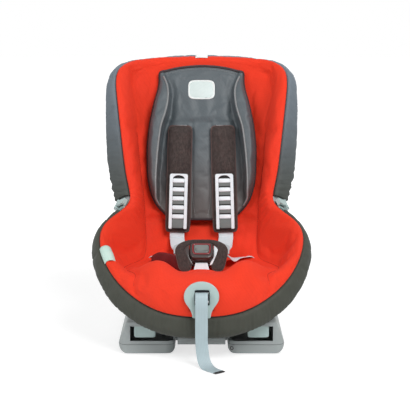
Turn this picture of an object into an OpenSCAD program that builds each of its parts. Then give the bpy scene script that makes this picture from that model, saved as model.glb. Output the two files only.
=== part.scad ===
// Forward-facing child seat with a five-point harness, reclining on a two-foot base.
// Millimetres. +Z is up, the child faces -Y, the origin is on the floor under the middle of the seat.

/* [Bucket] */
// Distance between the two arm crests
arm_width = 432; // [416:2:448]
// Height of the arm crests above the floor
arm_height = 258; // [250:1:266]
// Distance between the crests at the waist
waist_width = 280; // [272:2:292]
// Distance between the crests of the head wings
wing_width = 384; // [368:2:400]
// How far the wings stand forward of the back
wing_depth = 119; // [110:1:126]
// Length of the back from the bight to the top crest
back_length = 414; // [406:2:424]
// Rake of the back from upright
back_rake = 19; // [17:0.5:21]
// How far the front crest stands in front of the origin
front_reach = 242; // [236:1:248]
// Height of the front of the pan
front_height = 152; // [149:1:156]
// Height of the pan at its lowest
pan_height = 118; // [116:1:122]
// Wall of the plastic shell
shell_wall = 4.5; // [3.5:0.1:5.5]

/* [Covers] */
// Padding under the red cover
cover_pad = 13; // [10:0.5:14]
// Extra padding over the front edge
front_roll = 9; // [4:1:12]
// Extra padding of the two thigh rolls
thigh_roll = 26; // [14:1:30]
// Thickness of the grey borders
border_pad = 9; // [6:0.5:10]
// Depth of the insert's middle panel, from the shell
insert_depth = 37; // [34:0.5:42]
// Extra depth of the insert's side bolsters
bolster_rise = 32; // [18:1:38]
// Sides of the blank sewn patch
patch_size = [60, 46]; // [30:1:70]

/* [Harness] */
// Distance between the two shoulder straps
strap_spacing = 98; // [94:1:102]
// Width of the shoulder, lap and crotch webbing
web_width = 36; // [30:1:38]
// Thickness of the webbing
web_thick = 1.6; // [1.2:0.1:2]
// Height of the shoulder slots along the back
slot_height = 243; // [232:1:250]
// Length of a chest pad
pad_length = 240; // [220:2:250]
// Width of a chest pad
pad_width = 52; // [46:1:54]
// Thickness of a chest pad
pad_thick = 14; // [11:0.5:16]
// Travel of a chest pad along its strap
pad_travel = 10; // [6:1:14]
// Number of rungs on a grip ladder
rung_count = 5; // [3:1:7]
// Width of the buckle
buckle_width = 52; // [48:1:56]
// Length of the buckle
buckle_length = 48; // [46:1:52]
// Lean of the buckle from upright
buckle_lean = 56; // [50:1:60]
// Travel of the buckle's button
button_travel = 3.5; // [2.5:0.1:4]

/* [Adjuster] */
// Width of the adjuster webbing
tail_width = 25; // [22:1:27]
// Radius of the round head of the teardrop plate
plate_radius = 35; // [31:0.5:38]
// Thickness of the teardrop plate
plate_thick = 5; // [4:0.5:6]
// Radius of the cam
cam_radius = 7; // [6:0.2:7.6]

/* [Base] */
// Width of a foot
foot_width = 116; // [110:1:122]
// Clear gap between the two feet
foot_gap = 108; // [104:1:112]
// Height of a foot
foot_height = 66; // [62:1:70]
// How far the feet stand in front of the origin
base_front = 187; // [182:1:192]
// How far the feet stand behind the origin
base_rear = 235; // [225:1:240]
// Wall of the base mouldings
base_wall = 4; // [3:0.2:5]
// Height of the solid lip under a foot's front window
lip_height = 27; // [22:1:32]
// How far the rubber pads stand proud of the feet
pad_proud = 1.5; // [1:0.1:2.5]
// Width of the recline handle's grip
handle_width = 98; // [90:1:102]
// Travel of the recline handle
handle_travel = 12; // [8:1:14]

/* [Recline] */
// Swing of the seat from upright to fully reclined
recline_angle = 12; // [8:1:13]
// Distance of the recline axis behind the origin
pivot_y = -15; // [-20:1:-10]
// Height of the recline axis above the floor
pivot_z = 455; // [450:1:460]
// Radius of the glide pins
pin_radius = 4; // [3:0.2:4.5]
// Number of notches in the recline rack
notch_count = 5; // [3:1:6]

/* [Hidden] */
$fn = 48;
gap = 0.3;
fit = 0.05;
GREY_PLASTIC = "#9ba2a3";
PALE_PLASTIC = "#b6c1be";
RED_CLOTH = "#f04023";
GREY_CLOTH = "#5b5a57";
DARK_CLOTH = "#4c4f52";
PLUSH = "#3b3230";
WEBBING = "#c5d6dc";
STEEL = "#a9adb0";
BLACK = "#222222";
BUTTON_GREY = "#8f9695";

// The bucket is one smooth net: ribs run from a spine in the middle plane out to the rim.
bight = [96, 196];
function back_pt(x, s, n) = [x,
    bight.x + s*sin(back_rake) - n*cos(back_rake),
    bight.y + s*cos(back_rake) + n*sin(back_rake)];
// Each station: spine point, crest point, how far the lip turns out and down, lean of the wall
upright = 90 - back_rake;
stations = [
    [[0, 78 - front_reach, front_height], [0, -front_reach, 104], 0, 54, 0],
    [[0, 83 - front_reach, front_height], [78, 6 - front_reach, 108], 2, 54, 0],
    [[0, 100 - front_reach, front_height - 5], [arm_width/2 - 66, 50 - front_reach, 146], 12, 58, 0],
    [[0, -112, pan_height + 17], [arm_width/2 - 20, -134, arm_height - 62], 18, 50, 0],
    [[0, -62, pan_height + 6], [arm_width/2, -60, arm_height], 16, 52, 6],
    [[0, -8, pan_height], [waist_width/2 + 32, 4, arm_height + 18], 20, 40, 22],
    [[0, 46, pan_height + 14], [waist_width/2, 36, arm_height + 32], 36, 36, 48],
    [back_pt(0, 0, 0), back_pt(waist_width/2 + 12, 117, wing_depth - 24), 45, 46, upright],
    [back_pt(0, 102, 0), back_pt(wing_width/2 - 30, 197, wing_depth - 5), 42, 50, upright],
    [back_pt(0, 212, 0), back_pt(wing_width/2 - 14, 296, wing_depth), 29, 46, upright],
    [back_pt(0, 318, 0), back_pt(wing_width/2, back_length - 42, wing_depth - 34), 12, 34, upright],
    [back_pt(0, 370, 0), back_pt(wing_width/2 - 72, back_length - 9, 10), 4, 24, upright],
    [back_pt(0, back_length - 28, 0), back_pt(0, back_length, 3), 0, 24, upright]];
A_END = len(stations) - 1;
T_END = 4;
T_SEAM = 3.2;
// Least length of the wall that bends into the crest
crest_round = 17;
function mirrored(p) = [-p.x, p.y, p.z];
function rib(st) =
    let (spine = st[0], crest = st[1], up = [0, -sin(st[4]), cos(st[4])],
        rise = ((crest - spine)*up)*up, run = crest - spine - rise,
        reach = 1 - max(0.05, (crest_round - 0.7*norm(rise))/norm(run)),
        flat = spine + 0.65*reach*run, wall = spine + reach*run + 0.3*rise,
        edge = crest + [st[2], 0, 0] - st[3]*up)
    [mirrored(flat), spine, flat, wall, crest, edge, 2*edge - crest];
ribs = [for (st = stations) rib(st)];
net = concat([[for (p = ribs[1]) mirrored(p)]], ribs, [[for (p = ribs[A_END - 1]) mirrored(p)]]);
function weights(f) = [pow(1 - f, 3), 3*pow(f, 3) - 6*f*f + 4, 3*f + 3*f*f - 3*pow(f, 3) + 1, pow(f, 3)]/6;
function shell_pt(a, t) =
    let (i = min(floor(a), A_END - 1), j = min(floor(t), T_END - 1), wt = weights(t - j))
    weights(a - i)*[for (m = [0:3]) wt*[for (q = [0:3]) net[i + m][j + q]]];
function shell_normal(a, t) =
    let (h = 0.01, da = shell_pt(min(a + h, A_END), t) - shell_pt(max(a - h, 0), t),
        dt = shell_pt(a, min(t + h, T_END)) - shell_pt(a, max(t - h, 0)),
        n = t < 2*h ? [0, -da.z, da.y] : cross(dt, a == 0 || a == A_END ? [1, 0, 0]*sign(da.x) : da))
    n/norm(n);
function off_shell(a, t, d) = shell_pt(a, t) + d*shell_normal(a, t);
// The wall thins towards the crest, which bends tighter than the wall is thick
function wall_at(t) = shell_wall*(1 - 0.8*bump(t, 3, 0.45));
// Inverse look-ups on the net by halving the interval
function halve(f, goal, lo, hi, n = 16) =
    n == 0 ? (lo + hi)/2 :
    let (mid = (lo + hi)/2) f(mid) < goal ? halve(f, goal, mid, hi, n - 1) : halve(f, goal, lo, mid, n - 1);
function t_at_x(a, x) = x <= 0 ? 0 : halve(function (t) shell_pt(a, t).x, x, 0, 3);
function a_at_y(y) = halve(function (a) shell_pt(a, 0).y, y, 0, 6);
function t_at_z(z) = halve(function (t) -shell_pt(0, t).z, -z, 0, T_END);
function along_back(p) = (p.y - bight.x)*sin(back_rake) + (p.z - bight.y)*cos(back_rake);
function off_back(p) = (bight.x - p.y)*cos(back_rake) + (p.z - bight.y)*sin(back_rake);
function a_at_back(x, s) =
    halve(function (a) along_back(shell_pt(a, t_at_x(a, x))), s, 6.4, A_END - 0.02, 13);
function bump(x, mid, reach) = exp(-pow((x - mid)/reach, 2));
function mix(a, b, f) = a + (b - a)*f;
function ramp(x, lo, hi) = let (f = min(1, max(0, (x - lo)/(hi - lo)))) f*f*(3 - 2*f);

// Grid lines: even steps, with the edges of holes put in and near lines taken out
function quicksort(v) = len(v) < 2 ? v :
    concat(quicksort([for (x = v) if (x < v[0]) x]), [v[0]], quicksort([for (x = v) if (x > v[0]) x]));
function near(x, v, d) = len([for (y = v) if (abs(x - y) < d) 1]) > 0;
function with_edges(lines, extra, room) =
    quicksort(concat(extra, [for (x = lines) if (!near(x, extra, room)) x]));
function grid_lines(lo, hi, n, extra) =
    let (step = (hi - lo)/n) with_edges([for (i = [0:n]) lo + i*step], extra, 0.45*step);

// A closed solid between two right-half skins and their mirror images, on a grid of lines.
// A pinched grid folds its first and last line onto the middle plane.
module skin_solid(as, ts, low, high, pinched = false, holed = function (a, t) false) {
    rows = len(as) - 1;
    m = len(ts) - 1;
    wide = 2*m + 1;
    first = pinched ? m + 1 : wide;
    count = 2*first + (rows - 1)*wide;
    function folded(i) = pinched && (i == 0 || i == rows);
    function id(i, k) =
        (i == 0 ? 0 : first + (i - 1)*wide) + (folded(i) ? abs(k) : k + m);
    function layer(f) = [for (i = [0:rows]) for (k = [(folded(i) ? 0 : -m):m])
        let (p = f(as[i], ts[abs(k)])) [folded(i) ? 0 : sign(k)*p.x, p.y, p.z]];
    function mid(v, i) = (v[i] + v[i + 1])/2;
    gone = [for (i = [0:rows - 1]) [for (k = [-m:m - 1]) holed(mid(as, i), mid(ts, k < 0 ? -k - 1 : k))]];
    function open(i, k) =
        k < -m || k > m - 1 ? true :
        i < 0 || i > rows - 1 ? !pinched : gone[i][k + m];
    function wall(p, q) = [[p, p + count, q + count], [p, q + count, q]];
    faces = [for (i = [0:rows - 1]) for (k = [-m:m - 1]) if (!open(i, k))
        let (p = id(i, k), q = id(i, k + 1), r = id(i + 1, k + 1), s = id(i + 1, k))
        each concat(
            [[p, q, r], [p, r, s], [p + count, s + count, r + count], [p + count, r + count, q + count]],
            open(i - 1, k) ? wall(p, q) : [],
            open(i, k + 1) ? wall(q, r) : [],
            open(i + 1, k) ? wall(r, s) : [],
            open(i, k - 1) ? wall(s, p) : [])];
    polyhedron(concat(layer(low), layer(high)), faces, convexity = 8);
}

// A closed solid through rings of equal length, each clockwise as seen from the last one.
// Each end is capped by a strip that joins a ring's first half to its second half.
module ring_solid(rings) {
    n = len(rings[0]);
    last = (len(rings) - 1)*n;
    strip = [for (k = [0:n/2 - 2]) each [[k, k + 1, n - 2 - k], [k, n - 2 - k, n - 1 - k]]];
    faces = concat(
        [for (i = [0:len(rings) - 2]) for (k = [0:n - 1])
            let (p = i*n + k, q = i*n + (k + 1)%n) each [[p, q, q + n], [p, q + n, p + n]]],
        [for (f = strip) [f[2], f[1], f[0]]],
        [for (f = strip) [last + f[0], last + f[1], last + f[2]]]);
    polyhedron([for (r = rings) each r], faces, convexity = 6);
}

function unit(v) = v/norm(v);
function heading(pts, i) = unit(pts[min(i + 1, len(pts) - 1)] - pts[max(i - 1, 0)]);
// Flat webbing along a route; each point has the direction of the webbing's width
module ribbon(pts, across, w, t) {
    ring_solid([for (i = [0:len(pts) - 1])
        let (go = heading(pts, i), side = unit(across[i] - (across[i]*go)*go), x = side*w/2,
            y = cross(go, side)*t/2)
        [pts[i] - x - y, pts[i] - x + y, pts[i] + x + y, pts[i] + x - y]]);
}

// A coil spring along +Z: one tube that follows a helix
module coil(radius, wire, height, turns) {
    steps = turns*10;
    ring_solid([for (i = [0:steps])
        let (f = i/steps, turn = 360*turns*f, z = wire/2 + (height - wire)*f)
        [for (k = [0:5]) let (c = wire/2*cos(60*k), s = wire/2*sin(60*k))
            [(radius + c)*cos(turn), (radius + c)*sin(turn), z + s]]]);
}

module rod_x(at, r, h) translate(at) rotate([0, 90, 0]) cylinder(r = r, h = h, center = true);
module rod_y(at, r, h) translate(at) rotate([90, 0, 0]) cylinder(r = r, h = h, center = true);
module rounded_rect(w, h, r) {
    square([w - 2*r, h], center = true);
    square([w, h - 2*r], center = true);
    for (x = [-1, 1], y = [-1, 1])
        translate([x*(w/2 - r), y*(h/2 - r)]) circle(r);
}

// Local frame on the net: x towards the rim, y along the rim, z out of the skin
function net_axes(a, t) =
    let (z = shell_normal(a, t), x = unit(cross(shell_pt(a + 0.05, t) - shell_pt(a - 0.05, t), z)))
    [x, cross(z, x), z, shell_pt(a, t)];
module on_net(a, t, side) {
    m = net_axes(a, t);
    on_side(side) multmatrix([for (i = [0:2]) [for (v = m) v[i]]]) children();
}

module on_side(side) {
    if (side > 0) children();
    else mirror([1, 0, 0]) children();
}

// Local frame: x across, y up a face that leans back, z out of the face
module leaning(at, lean) translate(at) rotate([90 - lean, 0, 0]) children();
function leaning_pt(at, lean, x, l, n) = at + [x, l*sin(lean) - n*cos(lean), l*cos(lean) + n*sin(lean)];
// Local frame: x along +Y, y along +Z, extruded along +X
module side_profile(x0, x1) translate([x0, 0, 0]) rotate([90, 0, 90]) linear_extrude(x1 - x0) children();

// Shell: a bucket with holes for the webbing, the adjuster and the vehicle belt
slot_w = web_width + 5;
slot_h = 14;
strap_x = strap_spacing/2;
slot_rows = [-70, 0, 58];
slot_as = [for (row = slot_rows) [for (e = [-1, 1]) a_at_back(strap_x, slot_height + row + e*slot_h/2)]];
slot_a = (slot_as[1][0] + slot_as[1][1])/2;
slot_ts = [for (e = [-1, 1]) t_at_x(slot_a, strap_x + e*slot_w/2)];
crotch_y = -52;
crotch_as = [for (e = [-1, 1]) a_at_y(crotch_y + e*slot_h/2)];
crotch_t = t_at_x(crotch_as[0], slot_w/2);
lap_as = [4.72, 5.3];
lap_a = (lap_as[0] + lap_as[1])/2;
lap_x = 116;
lap_ts = [t_at_x(lap_a, lap_x - 6), t_at_x(lap_a, lap_x + 6)];
lap_t = (lap_ts[0] + lap_ts[1])/2;
belt_as = [5.55, 6.35];
belt_ts = [2.1, 2.45];
// The adjuster's mouth in the front: half width and lower edge; its top shares a line with the lap holes
mouth_x = 21;
mouth_z = 104;
mouth_ts = [lap_ts[1], t_at_z(mouth_z)];
mouth_a = halve(function (a) shell_pt(a, 2.3).x, mouth_x, 0, 1.5);
function inside(x, v) = x > v[0] && x < v[1];
function in_strap_slot(a, t, row) = inside(a, slot_as[row]) && inside(t, slot_ts);
function in_common_hole(a, t) =
    (inside(a, crotch_as) && t < crotch_t) || (inside(a, lap_as) && inside(t, lap_ts)) ||
    (a < mouth_a && inside(t, mouth_ts)) || in_strap_slot(a, t, 1);
function in_shell_hole(a, t) =
    in_common_hole(a, t) || in_strap_slot(a, t, 0) || in_strap_slot(a, t, 2) ||
    (inside(a, belt_as) && inside(t, belt_ts));
hole_as = concat(slot_as[1], crotch_as, lap_as, [mouth_a]);
hole_ts = concat(slot_ts, [crotch_t], lap_ts, [mouth_ts[1]]);
waist_gap = [5.15, 6.2];
top_corner = [10.5, 11.1];
flap_ts = [3.7, 3.85];
// The cover's grid lines, and the shell's: the same lines and a few more
cover_as = grid_lines(0, A_END, 20, concat(hole_as, top_corner));
cover_ts = with_edges([0, 1.7, 2.1, 2.45, 2.75, 3.08, T_SEAM], hole_ts, 0.1);
shell_as = with_edges(cover_as, concat(slot_as[0], slot_as[2], belt_as, waist_gap), 0.04);
shell_ts = with_edges(concat(cover_ts, [3.35, 3.5], flap_ts, [T_END]), belt_ts, 0.02);

module seat_shell()
    color(GREY_PLASTIC)
        skin_solid(shell_as, shell_ts, function (a, t) off_shell(a, t, -wall_at(t)),
            function (a, t) shell_pt(a, t), true, function (a, t) in_shell_hole(a, t));

// Red cover with its padding: crowned rolls, drawn in towards the seam
cover_gap = 0.5;
crest_gap = 0.8;
function cover_low(a, t) = cover_gap + crest_gap*ramp(t, 1.9, 2.5);
function cover_top(a, t) = cover_gap + cover_pad*(1 - 0.5*pow(t/T_SEAM, 5)) +
    front_roll*bump(a, 0, 2.4)*bump(t, 1.2, 0.9) + thigh_roll*bump(a, 1.9, 0.8)*bump(t, 1.2, 0.6);
module seat_cover()
    color(RED_CLOTH)
        skin_solid(cover_as, cover_ts, function (a, t) off_shell(a, t, cover_low(a, t)),
            function (a, t) off_shell(a, t, cover_top(a, t)), true, function (a, t) in_common_hole(a, t));

// Grey borders hook over the rim; a gap at the waist leaves the plastic bare.
// They keep to the shell's grid lines.
border_gap = 0.9;
border_t = T_SEAM + 0.06;
function hook(a, side) =
    let (rim = shell_pt(a, T_END), n = shell_normal(a, T_END), out = unit(rim - shell_pt(a, T_END - 0.1)),
        thin = border_pad*0.62, back = -shell_wall - 2*border_gap,
        outer = [off_shell(a, border_t, thin), off_shell(a, 3.5, border_pad),
            off_shell(a, flap_ts[1], border_pad), rim + 3*out + 0.9*border_pad*n,
            rim + border_pad*(0.8*out + 0.3*n),
            rim + border_pad*(0.85*out - 0.7*n), rim + 2*out + (back - thin)*n,
            off_shell(a, flap_ts[1], back - thin), off_shell(a, flap_ts[0], back - 2)],
        inner = [off_shell(a, flap_ts[0], back), off_shell(a, flap_ts[1], back),
            rim + border_gap*out + back*n, rim + border_gap*(out + n),
            off_shell(a, flap_ts[1], border_gap), off_shell(a, 3.5, border_gap),
            off_shell(a, border_t, border_gap)])
    [for (p = concat(outer, inner)) [a == 0 || a == A_END ? 0 : side*p.x, p.y, p.z]];
module seat_border() {
    as = [for (a = shell_as) if (a <= waist_gap[0]) a];
    color(GREY_CLOTH)
        ring_solid(concat([for (i = [len(as) - 1:-1:1]) hook(as[i], 1)], [for (a = as) hook(a, -1)]));
}
module back_border() {
    as = [for (a = shell_as) if (a >= waist_gap[1]) a];
    color(GREY_CLOTH)
        ring_solid(concat([for (a = as) hook(a, -1)], [for (i = [len(as) - 2:-1:0]) hook(as[i], 1)]));
}

// Dark insert: a middle panel between two bolsters, lying on the red cover.
// Pairs of height along the back and half width, of height and share of the bolsters' rise,
// and of height and how far out a bolster starts
insert_low = 30;
insert_top_gap = 29;
insert_high = back_length - insert_top_gap;
insert_gap = 2;
half_widths = [[30, 62], [48, 88], [75, 108], [120, 119], [190, 121], [240, 117], [290, 108], [330, 98],
    [365, 94], [385, 96]];
bolsters = [[30, 0], [60, 0.3], [100, 1], [250, 1], [330, 0.6], [385, 0.15]];
bolster_starts = [[30, 88], [120, 90], [180, 86], [240, 79], [262, 70], [300, 63], [330, 63], [360, 70],
    [385, 80]];
bolster_slope = 13;
head_start = 262;
head_slope = 0.09;
function panel_depth(s) = insert_depth - head_slope*max(0, s - head_start);
function insert_spot(s, f) =
    let (x = f*lookup(s, half_widths), top = ramp(s, 300, insert_high))
    [x, s - 16*top*f*f];
function insert_back(s, f) =
    let (spot = insert_spot(s, f), a = a_at_back(spot.x, spot.y), t = t_at_x(a, spot.x),
        lean = max(0.5, shell_normal(a, t)*[0, -cos(back_rake), sin(back_rake)]))
    off_back(shell_pt(a, t)) + (cover_top(a, t) + insert_gap)/lean;
function insert_front(s, f, back) =
    let (x = insert_spot(s, f).x, start = lookup(s, bolster_starts), round_off = 1 - 0.35*ramp(f, 0.9, 1),
        rise = bolster_rise*lookup(s, bolsters)*ramp(x, start, start + bolster_slope)*round_off)
    f > 0.99 ? back + 6 : max(panel_depth(s) + rise, back + 5);
function insert_pt(s, f, front) =
    let (p = insert_spot(s, f), back = insert_back(s, f))
    back_pt(p.x, p.y, front ? insert_front(s, f, back) : back);
slot_fs = [for (e = [-1, 1]) (strap_x + e*slot_w/2)/lookup(slot_height, half_widths)];
slot_ss = [for (e = [-1, 1]) slot_height + e*slot_h/2];
module head_insert()
    color(DARK_CLOTH)
        skin_solid(grid_lines(insert_low, insert_high, 17, slot_ss),
            quicksort(concat(slot_fs, [0, 0.66, 0.74, 0.82, 0.92, 1])),
            function (s, f) insert_pt(s, f, false), function (s, f) insert_pt(s, f, true),
            false, function (s, f) inside(s, slot_ss) && inside(f, slot_fs));

// Blank sewn patch on the head panel, and two small sewn tags
patch_s = 328;
patch_thick = 1.6;
module label_patch()
    color("white")
        leaning(back_pt(0, patch_s, panel_depth(patch_s) + gap), back_rake + atan(head_slope))
            linear_extrude(patch_thick) rounded_rect(patch_size.x, patch_size.y, 7);
top_tag_size = [10, 28, 1.2];
module top_tag()
    color("white") on_net(A_END, 3.5, 1)
        translate([-top_tag_size.x/2, -top_tag_size.y/2, border_pad + gap]) cube(top_tag_size);
side_tag_a = 3.15;
side_tag_size = [24, 40, 1.4];
module side_tag()
    color("white") on_net(side_tag_a, T_SEAM, -1)
        translate([-side_tag_size.x, -side_tag_size.y/2, cover_top(side_tag_a, T_SEAM) + gap])
            cube(side_tag_size);

// Chest pads and their grip ladders; lower ends spread a little
pad_seat = insert_depth + 0.8 + web_thick;
pad_base = slot_height - 2 - pad_length;
pad_end = pad_base - pad_travel;
pad_spread = 1.3;
pad_edge = 4;
pad_round = 12;
module at_pad(side)
    leaning(back_pt(side*(strap_x + 4), pad_base, 0), back_rake) rotate([0, 0, side*pad_spread]) children();
function corner_inset(l, len, r) =
    let (q = max(0, (abs(l) - len/2 + r)/r)) r*(1 - sqrt(max(0, 1 - q*q)));
// A crowned cushion on z = 0; share tells how much of the crown is left along its length
module cushion(w, l, thick, edge, r, rows, share) {
    ends = [for (i = [0:3]) l/2 - r*(1 - cos(30*i))];
    ls = quicksort(concat(ends, -ends, [for (i = [1:rows - 1]) mix(r - l/2, l/2 - r, i/rows)]));
    function half(y) = w/2 - corner_inset(y, l, r);
    function crown(y, f) = edge + (thick - edge)*(1 - pow(f, 4))*(1 - pow(abs(2*y/l), 14))*share(y);
    skin_solid(ls, [0, 0.45, 0.75, 0.93, 1], function (y, f) [f*half(y), y, 0],
        function (y, f) [f*half(y), y, crown(y, f)]);
}
ladder_len = 118;
ladder_low = 10;
ladder_thick = 2.4;
ladder_w = pad_width - 12;
ladder_rail = 7;
rung = 8;
rung_pitch = (ladder_len - 26)/rung_count;
module chest_pad(side)
    color(PLUSH) at_pad(side) translate([0, pad_length/2, pad_seat])
        cushion(pad_width, pad_length, pad_thick, pad_edge, pad_round, 12,
            function (y) 1 - 0.45*bump(y, ladder_len - pad_length/2 + 6, 7));
module grip_ladder(side)
    color("white") at_pad(side) translate([0, ladder_low, pad_seat + pad_thick + gap])
        linear_extrude(ladder_thick) difference() {
            translate([0, ladder_len/2]) rounded_rect(ladder_w, ladder_len, 5);
            for (i = [0:rung_count - 1])
                translate([ladder_rail - ladder_w/2, 20 + i*rung_pitch + rung])
                    square([ladder_w - 2*ladder_rail, rung_pitch - rung]);
        }

// Buckle, leaning back on the crotch strap
buckle_at = [0, -22, 177];
buckle_round = 9;
module at_buckle() leaning(buckle_at, buckle_lean) children();
function buckle_pt(x, l, n) = leaning_pt(buckle_at, buckle_lean, x, l, n);
tongue_thick = 3;
mouth_half = tongue_thick/2 + 0.5;
housing_top = 12;
back_low = 9;
rim_wall = 3.5;
button_size = [buckle_width - 20, buckle_length - 24];
button_l = 2;
button_proud = 1.5;
latch_top = mouth_half - 0.2;
latch_len = buckle_length/2 + button_l;
buckle_coil = [5, 0.8, 3];
button_low = latch_top + 2*gap + buckle_coil[1]*buckle_coil[2] + button_travel;
module buckle_back()
    color(PLUSH) at_buckle() translate([0, 0, -back_low])
        linear_extrude(back_low - mouth_half) rounded_rect(buckle_width, buckle_length, buckle_round);
module buckle_housing()
    color(DARK_CLOTH) at_buckle() difference() {
        translate([0, 0, -mouth_half]) linear_extrude(housing_top + mouth_half)
            rounded_rect(buckle_width, buckle_length, buckle_round);
        translate([rim_wall - buckle_width/2, rim_wall - buckle_length/2, -mouth_half - 1])
            cube([buckle_width - 2*rim_wall, buckle_length, 2*mouth_half + 1]);
        translate([0, button_l, 0]) linear_extrude(housing_top + 1)
            rounded_rect(button_size.x + 2*gap, button_size.y + 2*gap, 4);
    }
module buckle_latch()
    color(STEEL) at_buckle()
        translate([rim_wall + gap - buckle_width/2, rim_wall + gap - buckle_length/2, -mouth_half])
            cube([buckle_width - 2*rim_wall - 2*gap, latch_len, latch_top + mouth_half]);
module buckle_spring()
    color(STEEL) at_buckle() translate([0, button_l, latch_top + gap])
        coil(buckle_coil[0], buckle_coil[1], button_low - latch_top - 2*gap, buckle_coil[2]);
module buckle_button()
    color(BUTTON_GREY) at_buckle() translate([0, button_l, button_low])
        linear_extrude(housing_top + button_proud - button_low) rounded_rect(button_size.x, button_size.y, 4);
blade_x = [2.5, buckle_width/2 - rim_wall - 1];
blade_l = latch_len - buckle_length/2 + rim_wall + 3;
head_l = buckle_length/2 + gap;
loop_x = [buckle_width/2 + 4, buckle_width/2 + 34];
loop_mid = (loop_x[0] + loop_x[1])/2;
loop_slot = [7, 5];
module tongue(side)
    color(STEEL) at_buckle() on_side(side) translate([0, 0, -tongue_thick/2])
        linear_extrude(tongue_thick) difference() {
            polygon([[blade_x[0], blade_l], [blade_x[1], blade_l], [blade_x[1], head_l], [loop_x[0], head_l],
                [loop_x[0], -1], [loop_x[1], -1], [loop_x[1], 22], [loop_x[0] + 8, head_l + 11],
                [blade_x[0], head_l + 11]]);
            translate([loop_x[0] + 4, loop_slot[0]]) square([loop_x[1] - loop_x[0] - 8, loop_slot[1]]);
        }

// Crotch strap, its anchor under the shell and its butterfly pad
crotch_a = a_at_y(crotch_y);
crotch_low = off_shell(crotch_a, 0, -shell_wall - 1.4);
anchor_size = [web_width + 6, 16, 3];
module crotch_strap() {
    foot = buckle_pt(0, -buckle_length/2 - gap, -back_low/2);
    hole = shell_pt(crotch_a, 0) + [0, 0, 4];
    pts = [crotch_low, hole, (hole + foot)/2 + [0, -3, 0], foot];
    color(WEBBING) ribbon(pts, [for (p = pts) [1, 0, 0]], web_width, web_thick);
}
module crotch_anchor()
    color(STEEL) translate(crotch_low - [anchor_size.x/2, anchor_size.y/2, anchor_size.z + 0.4])
        cube(anchor_size);
butterfly = [[-25, 40], [-18, 45], [-8, 47], [6, 44], [12, 26], [24, 23]];
butterfly_ls = [-25, -23, -18, -12, -4, 4, 8, 12, 20, 24];
wing_pad = 9;
function wing_crown(f) = wing_pad*(1 - pow(f, 4) + pow(f, 5)*(f < 1 ? 1 : 0.4));
module crotch_pad()
    color(PLUSH) at_buckle() translate([0, 0, -back_low - gap]) mirror([0, 0, 1])
        skin_solid(butterfly_ls, [0, 0.4, 0.75, 0.94, 1], function (l, f) [f*lookup(l, butterfly), l, 0],
            function (l, f) [f*lookup(l, butterfly), l, wing_crown(f)]);

// Webbing: each shoulder strap runs from the yoke up behind the shell, through its slot, down to the tongue
strap_n = insert_depth + 0.4 + web_thick/2;
behind_n = -shell_wall - 8.5;
yoke_s = 62;
yoke_x = 20;
yoke_thick = 3;
module shoulder_strap(side) {
    top = slot_height;
    spots = [[yoke_x, yoke_s, behind_n], [30, 110, behind_n], [strap_x, 180, behind_n],
        [strap_x, top - 16, behind_n], [strap_x, top - 3, behind_n + 4], [strap_x, top + 2, 0],
        [strap_x, top + 2, strap_n - 10], [strap_x, top, strap_n - 3], [strap_x, top - 4, strap_n],
        [strap_x + 1, top - 60, strap_n], [strap_x + 5, pad_end + 10, strap_n],
        [strap_x + 5, pad_end - 2, strap_n]];
    end = buckle_pt(loop_mid, 8, 0);
    pts = concat([for (b = spots) back_pt(b.x, b.y, b.z)], [[strap_x + 2, 24, end.z + 3], end + [0, 8, 0.5]]);
    color(WEBBING) on_side(side) ribbon(pts, [for (p = pts) [1, 0, 0]], web_width - 4, web_thick);
}
module harness_yoke()
    color(STEEL) leaning(back_pt(0, yoke_s - 14, behind_n - web_thick/2 - yoke_thick - gap), back_rake)
        linear_extrude(yoke_thick) difference() {
            translate([0, 11]) rounded_rect(80, 30, 6);
            for (side = [-1, 1]) translate([side*yoke_x, 18]) rounded_rect(web_width - 2, 4, 1.9);
            translate([0, 3]) rounded_rect(tail_width + 3, 4, 1.9);
        }
lap_mid = [72, 94];
lap_rise = 22;
module lap_strap(side) {
    start = buckle_pt(loop_mid + 12, -6, -2);
    hole = shell_pt(lap_a, lap_t);
    pts = [start, [lap_mid[0], 4, start.z - 1], [lap_mid[1], hole.y - 8, hole.z + lap_rise],
        hole + [-4, -2, 12], hole, off_shell(lap_a, lap_t, -shell_wall - 7)];
    across = [[0.1, 1, -0.1], [0.1, 1, -0.15], [0.05, 1, -0.15], [0, 1, -0.05], [-0.2, 1, 0.2],
        [-0.2, 1, 0.2]];
    color(WEBBING) on_side(side) ribbon(pts, across, web_width - 6, web_thick);
}
lap_anchor_size = [14, web_width + 8, 4];
lap_anchor_low = -shell_wall - 11.5;
module lap_anchors()
    color(STEEL) for (side = [-1, 1]) on_net(lap_a, lap_t, side)
        translate([-lap_anchor_size.x/2, -lap_anchor_size.y/2, lap_anchor_low]) cube(lap_anchor_size);

// Adjuster in the front of the seat: bracket, cam and the teardrop plate
plate_lean = 8;
plate_z = 129;
plate_tip = -38;
plate_out = [0, -cos(plate_lean), sin(plate_lean)];
plate_lift = gap + max([for (t = [1.2:0.1:3.2])
    (off_shell(0, t, cover_top(0, t)) - [0, -front_reach, plate_z])*plate_out]);
plate_at = [0, -front_reach, plate_z] + plate_lift*plate_out;
module at_plate() leaning(plate_at, plate_lean) children();
function plate_pt(x, l, n) = leaning_pt(plate_at, plate_lean, x, l, n);
bracket = [36, 30, 23];
bracket_wall = 3.5;
bracket_l = -13;
cam_at = [0, 3.6, -16];
cam_pin = 3;
cam_span = [bracket_wall + 0.5 - bracket.x/2, 8.5];
cam_tab = 13.5;
cam_coil = [cam_pin + 1, 1, 3];
strap_l = cam_at.y + cam_radius + 0.6 + web_thick/2;
finger_slot = [27, 31];
finger_low = -13;
plate_neck = -12.5;
head_mid = 5;
head_rise = plate_radius - head_mid;
tip_half = 18;
neck_angle = asin((plate_neck - head_mid)/head_rise);
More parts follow.
